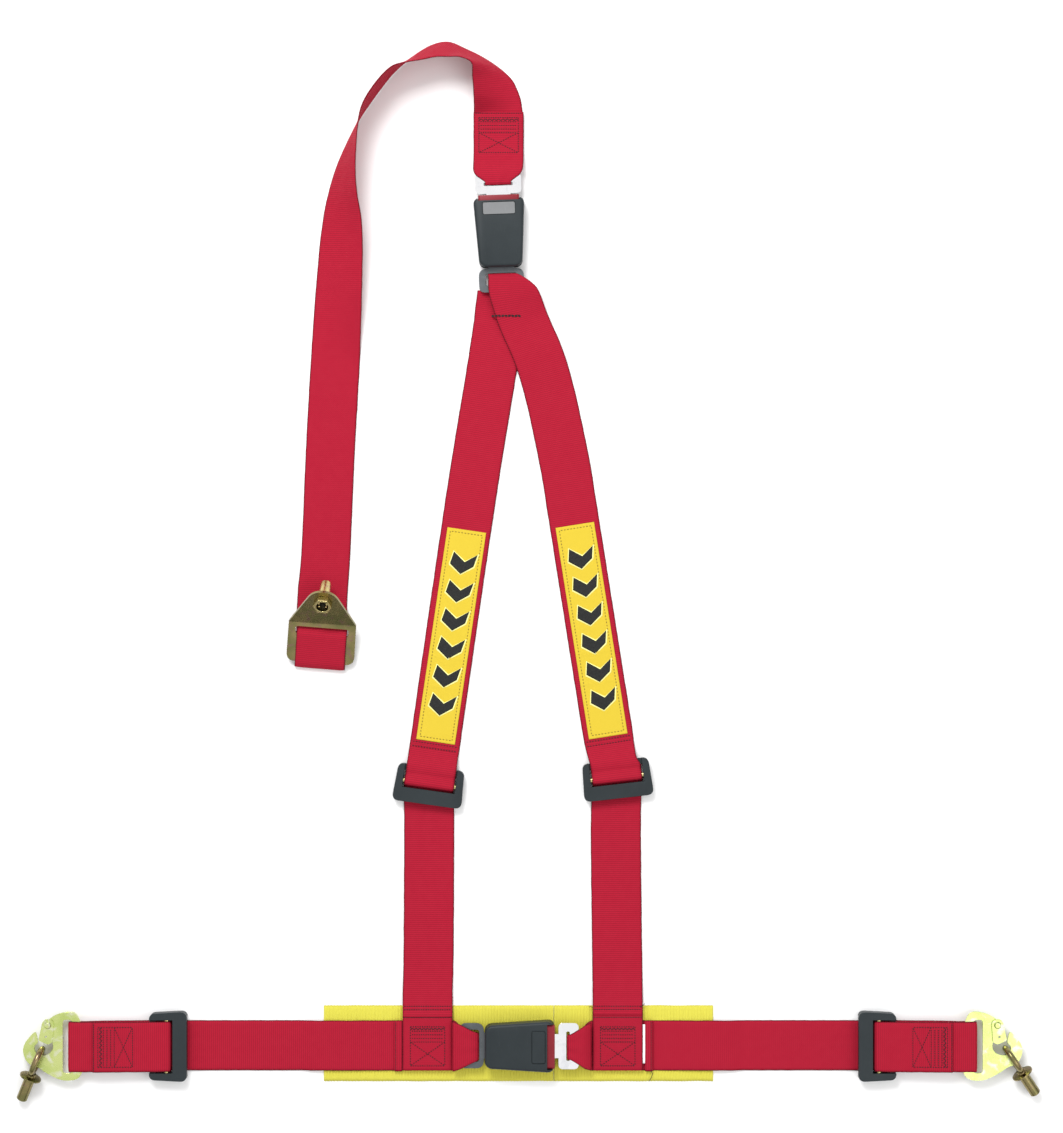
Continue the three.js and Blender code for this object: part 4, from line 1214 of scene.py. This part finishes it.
class HARNESS_OT_patches(Operator):
    """Sewn yellow patches with a plain chevron motif"""

    bl_idname = "harness.patches"
    bl_label = "Patches"

    BASE = FLOOR_LAYER + HALF + 0.12
    THICK = 0.6
    BORDER = 3.4

    def execute(self, context):
        s = settings().harness_pads
        cloth = patch_finish()
        ink = print_finish("black motif", s.ink)
        halo = print_finish("pale motif edge", (0.86, 0.80, 0.30))
        thread = thread_finish("tan thread", (0.17, 0.11, 0.015))
        for side, place in PATCH_PLACES.items():
            x, y, turn = place
            to_layout = Matrix.Translation((x, y, 0)) @ Matrix.Rotation(math.radians(turn), 4, "Z")
            patch = self.cloth(f"{side}_patch_cloth", to_layout, cloth)
            marks = [
                self.motif(f"{side}_patch_motif_edge", to_layout, halo, 1.1, 0.04),
                self.motif(f"{side}_patch_motif", to_layout, ink, 0.0, 0.09),
                self.border(f"{side}_patch_stitching", to_layout, thread),
            ]
            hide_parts(f"{side}_patch")
            strip = left_shoulder_strip() if side == "left" else right_shoulder_strip()
            self.seams_below(side, to_layout, strip)
        return {"FINISHED"}

    def seams_below(self, side, to_layout, strip):
        """Two rows of stitches across the strap, just below the patch."""
        sewing = Stitches(0.45)

        def where(x, y):
            place = to_layout @ Vector((x, y, 0))
            return Vector((place.x, place.y, strip.above(place.x, place.y, 3.2) + 0.15))

        for y in (-109.4, -113.8):
            sewing.run(where, (-22.5, y), (22.5, y), 2.8, 0.66)
        sewing.made(f"{side}_patch_seams", red_thread(), "harness")

    def height(self, x, y):
        """The patch's upper face, pulled down along its sewn border and over the hems beneath."""
        wide, tall = (v / 2 for v in PATCH_SIZE)
        inset = min(wide - abs(x), tall - abs(y))
        sewn = 0.18 * math.exp(-(((inset - self.BORDER) / 1.1) ** 2))
        hems = sum(0.22 * math.exp(-(((y - at) / 1.6) ** 2)) for at in (-22.0, -52.0))
        puff = 0.12 * noise.noise(Vector((x * 0.07, y * 0.07, 5.0)))
        return self.BASE + self.THICK - sewn + hems + puff

    def cloth(self, name, to_layout, material):
        wide, tall = PATCH_SIZE
        across, along = 39, 180
        points, places = [], []
        for layer in (1, 0):
            for i in range(along + 1):
                for j in range(across + 1):
                    x, y = -wide / 2 + wide * j / across, -tall / 2 + tall * i / along
                    z = self.height(x, y) if layer else self.BASE
                    points.append(to_layout @ Vector((x, y, z)))
                    places.append((x * MM, y * MM))
        faces = self.closed_sheet(along, across)
        made = piece(name, points, faces, material, places)
        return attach(made, "harness")

    def motif(self, name, to_layout, material, grow, lift):
        """Six slanted chevrons, as thin raised print that follows the cloth."""
        arm, drop, stroke, slant, spacing = 12.0, 9.0, 12.5, 0.2, 28.6
        columns, rows = 16, 8
        points, faces = [], []
        for k in range(6):
            first = len(points)
            for deep in (lift, -0.2):
                for i in range(columns + 1):
                    reach = 2 * i / columns - 1
                    low = (2.5 - k) * spacing - drop * (1 - abs(reach)) - grow
                    for j in range(rows + 1):
                        y = low + (stroke + 2 * grow) * j / rows
                        place = (reach * (arm + grow) + slant * (y - low), y)
                        points.append(to_layout @ Vector((*place, self.height(*place) + deep)))
            faces += self.closed_sheet(columns, rows, first)
        made = piece(name, points, faces, material)
        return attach(made, "harness")

    @staticmethod
    def closed_sheet(columns, rows, first=0):
        """Faces of an upper grid, the same grid below it, and the rim between them."""
        row, sheet = rows + 1, (rows + 1) * (columns + 1)
        faces = []
        for i in range(columns):
            for j in range(rows):
                a = first + i * row + j
                faces.append((a, a + 1, a + row + 1, a + row))
                faces.append((a + sheet, a + sheet + row, a + sheet + row + 1, a + sheet + 1))
        rim = [j for j in range(rows + 1)] + [i * row + rows for i in range(1, columns + 1)]
        rim += [columns * row + j for j in reversed(range(rows))]
        rim += [i * row for i in reversed(range(1, columns))]
        for a, b in zip(rim, rim[1:] + rim[:1]):
            faces.append((first + a, first + a + sheet, first + b + sheet, first + b))
        return faces

    def border(self, name, to_layout, material):
        wide, tall = (v / 2 - self.BORDER for v in PATCH_SIZE)
        sewing = Stitches(0.4)
        corners = [(-wide, -tall), (wide, -tall), (wide, tall), (-wide, tall)]
        for a, b in zip(corners, corners[1:] + corners[:1]):
            sewing.run(lambda x, y: to_layout @ Vector((x, y, self.height(x, y) + 0.12)), a, b, 3.2, 0.62)
        return sewing.made(name, material, "harness", "patch_cloth")


# Hardware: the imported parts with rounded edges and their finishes.
SHARP = math.radians(34.0)


def soften(part, width):
    """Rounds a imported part's sharp edges with modifiers, and shades it smoothly."""
    if "custom_normal" in part.data.attributes:
        part.data.attributes.remove(part.data.attributes["custom_normal"])
    part.data.polygons.foreach_set("use_smooth", [True] * len(part.data.polygons))
    join = part.modifiers.new("join", "WELD")
    join.merge_threshold = 0.00002
    flats = part.modifiers.new("flats", "DECIMATE")
    flats.decimate_type, flats.angle_limit = "DISSOLVE", math.radians(1.0)
    rounding = part.modifiers.new("edges", "BEVEL")
    rounding.width, rounding.segments = width, 3
    rounding.limit_method, rounding.angle_limit = "ANGLE", SHARP
    rounding.harden_normals = True


def dress(names, material, width):
    """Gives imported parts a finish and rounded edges."""
    for name in names:
        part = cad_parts[name]
        part.data.materials.clear()
        part.data.materials.append(material)
        soften(part, width)


def both(*names):
    """Each name for the left and the right side."""
    return [f"{side}_{name}" for side in ("left", "right") for name in names]


class HARNESS_OT_buckles(Operator):
    """Push-button buckles: cases, steel loops, buttons, tongues and the parts inside"""

    bl_idname = "harness.buckles"
    bl_label = "Buckles"

    def execute(self, context):
        edge = settings().harness_hardware.edge
        plastic, steel = black_plastic(), dark_steel()
        for which in ("top", "lap"):
            dress([f"{which}_{part}" for part in ("cover_front", "cover_rear", "ejector")], plastic, edge)
            dress([f"{which}_{part}" for part in ("loop_frame", "latch", "latch_spring")], steel, edge)
        dress(["top_button", "lap_button"], red_plastic(), edge)
        dress(["top_insert"], grey_insert(), 0.5 * edge)
        dress(["lap_insert"], plastic, 0.5 * edge)
        dress(["top_tongue", "lap_tongue"], bright_chrome(), 0.9 * edge)
        return {"FINISHED"}


class HARNESS_OT_adjusters(Operator):
    """Three-bar adjusters and their slide bars"""

    bl_idname = "harness.adjusters"
    bl_label = "Adjusters"

    def execute(self, context):
        edge = settings().harness_hardware.edge
        plastic = bpy.data.materials["blue black plastic"]
        dress(both("shoulder_adjuster_frame", "lap_adjuster_frame"), plastic, 2.2 * edge)
        dress(both("shoulder_adjuster_bar", "lap_adjuster_bar"), bolt_zinc(), 0.5 * edge)
        return {"FINISHED"}


class HARNESS_OT_hooks(Operator):
    """Snap hooks, keepers and rivets"""

    bl_idname = "harness.hooks"
    bl_label = "Snap Hooks"

    def execute(self, context):
        edge = settings().harness_hardware.edge
        dress(both("hook_plate"), hook_zinc(), 1.4 * edge)
        dress(both("keeper"), bpy.data.materials["pale yellow zinc"], 0.7 * edge)
        dress(both("rivet"), bpy.data.materials["pale yellow zinc"], 0.4 * edge)
        return {"FINISHED"}


class HARNESS_OT_anchors(Operator):
    """Anchor plate, its bolt and the two eye bolts"""

    bl_idname = "harness.anchors"
    bl_label = "Anchors"

    # How far the domes' rims are above the plate's underside: a little over the recess's floor.
    DOME_RIM = 6.75

    def execute(self, context):
        edge = settings().harness_hardware.edge
        bronze = bronze_zinc()
        dress(["anchor_plate"], bronze, 1.2 * edge)
        dress(both("eye_bolt"), bronze, 0.5 * edge)
        dress(["anchor_bolt"], bpy.data.materials["yellow zinc"], 0.8 * edge)
        self.dished_head()
        return {"FINISHED"}

    def dished_head(self):
        """The floor of the bolt head's recess as a dark disc of painted shade, and the four small bumps on
        it.
        """
        bend = math.radians(PLATE_BEND)
        up = PLATE_BEND_AT + PLATE_HOLE_UP * math.cos(bend)
        to_layout = (
            Matrix.Translation(ANCHOR)
            @ Matrix.Rotation(math.radians(ANCHOR_TURN), 4, "Z")
            @ Matrix.Rotation(ANCHOR_TILT, 4, "X")
            @ Matrix.Translation((0, up, PLATE_HOLE_UP * math.sin(bend)))
            @ Matrix.Rotation(bend, 4, "X")
        )
        # Painted shade: the recess's floor is a dark disc.
        tints = ((0.03, 0.025, 0.02), (0.02, 0.02, 0.015), (0.04, 0.03, 0.025))
        recess_shade = plated_finish("painted recess shade", *tints, 300.0, metallic=0.5, rough=0.5)
        self.domes("anchor_bolt_recess_shade", to_layout, recess_shade, [(0, 0, 5.95, -0.4)])
        turns = [math.radians(a) for a in (15, 158, 212, -32)]
        spots = [(4.1 * math.cos(a), 4.1 * math.sin(a), 1.25, 1.0) for a in turns]
        self.domes("anchor_bolt_dimples", to_layout, bpy.data.materials["yellow zinc"], spots)

    def domes(self, name, to_layout, material, spots):
        """Shallow domes given as (x, y, radius, height), which stand a little above the recess's floor."""
        rim, sides, shares = self.DOME_RIM, 24, (1.0, 0.75, 0.45)
        points, faces = [], []
        for x, y, radius, rise in spots:
            first = len(points)
            for share in shares:
                z = rim + rise * (1 - share**2)
                for k in range(sides):
                    turn = math.tau * k / sides
                    out = radius * share
                    points.append(to_layout @ Vector((x + out * math.cos(turn), y + out * math.sin(turn), z)))
            points.append(to_layout @ Vector((x, y, rim + rise)))
            for ring in range(len(shares) - 1):
                for k in range(sides):
                    n = (k + 1) % sides
                    low, high = first + ring * sides, first + (ring + 1) * sides
                    faces.append((low + k, low + n, high + n, high + k))
            top = first + (len(shares) - 1) * sides
            faces += [(top + k, top + (k + 1) % sides, top + sides) for k in range(sides)]
            faces.append(tuple(first + k for k in reversed(range(sides))))
        made = piece(name, points, faces, material)
        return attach(made, "anchor_bolt")


class HARNESS_PT_panel(Panel):
    """Lists the harness's pieces in the order that they are made"""

    bl_idname = "HARNESS_PT_panel"
    bl_label = "Racing Harness"
    bl_space_type = "VIEW_3D"
    bl_region_type = "UI"
    bl_category = "Harness"

    def draw(self, context):
        for operator in OPERATORS:
            self.layout.operator(operator.bl_idname)
        for name, _ in SETTINGS:
            group = getattr(context.scene, name)
            for label in group.__annotations__:
                self.layout.prop(group, label)


SETTINGS = [
    ("harness_webbing", HarnessWebbing),
    ("harness_pads", HarnessPads),
    ("harness_hardware", HarnessHardware),
    ("harness_stage", HarnessStage),
]
OPERATORS = [
    HARNESS_OT_stage,
    HARNESS_OT_tether,
    HARNESS_OT_shoulder_straps,
    HARNESS_OT_lap_belts,
    HARNESS_OT_pads,
    HARNESS_OT_patches,
    HARNESS_OT_buckles,
    HARNESS_OT_adjusters,
    HARNESS_OT_hooks,
    HARNESS_OT_anchors,
]


def register():
    for kind in [kind for _, kind in SETTINGS] + OPERATORS + [HARNESS_PT_panel]:
        bpy.utils.register_class(kind)
    for name, kind in SETTINGS:
        setattr(bpy.types.Scene, name, PointerProperty(type=kind))


def unregister():
    for name, _ in SETTINGS:
        delattr(bpy.types.Scene, name)
    for kind in reversed([kind for _, kind in SETTINGS] + OPERATORS + [HARNESS_PT_panel]):
        bpy.utils.unregister_class(kind)


def main():
    """Builds every piece."""
    register()
    for operator in OPERATORS:
        family, action = operator.bl_idname.split(".")
        getattr(getattr(bpy.ops, family), action)()


if __name__ == "__main__":
    main()
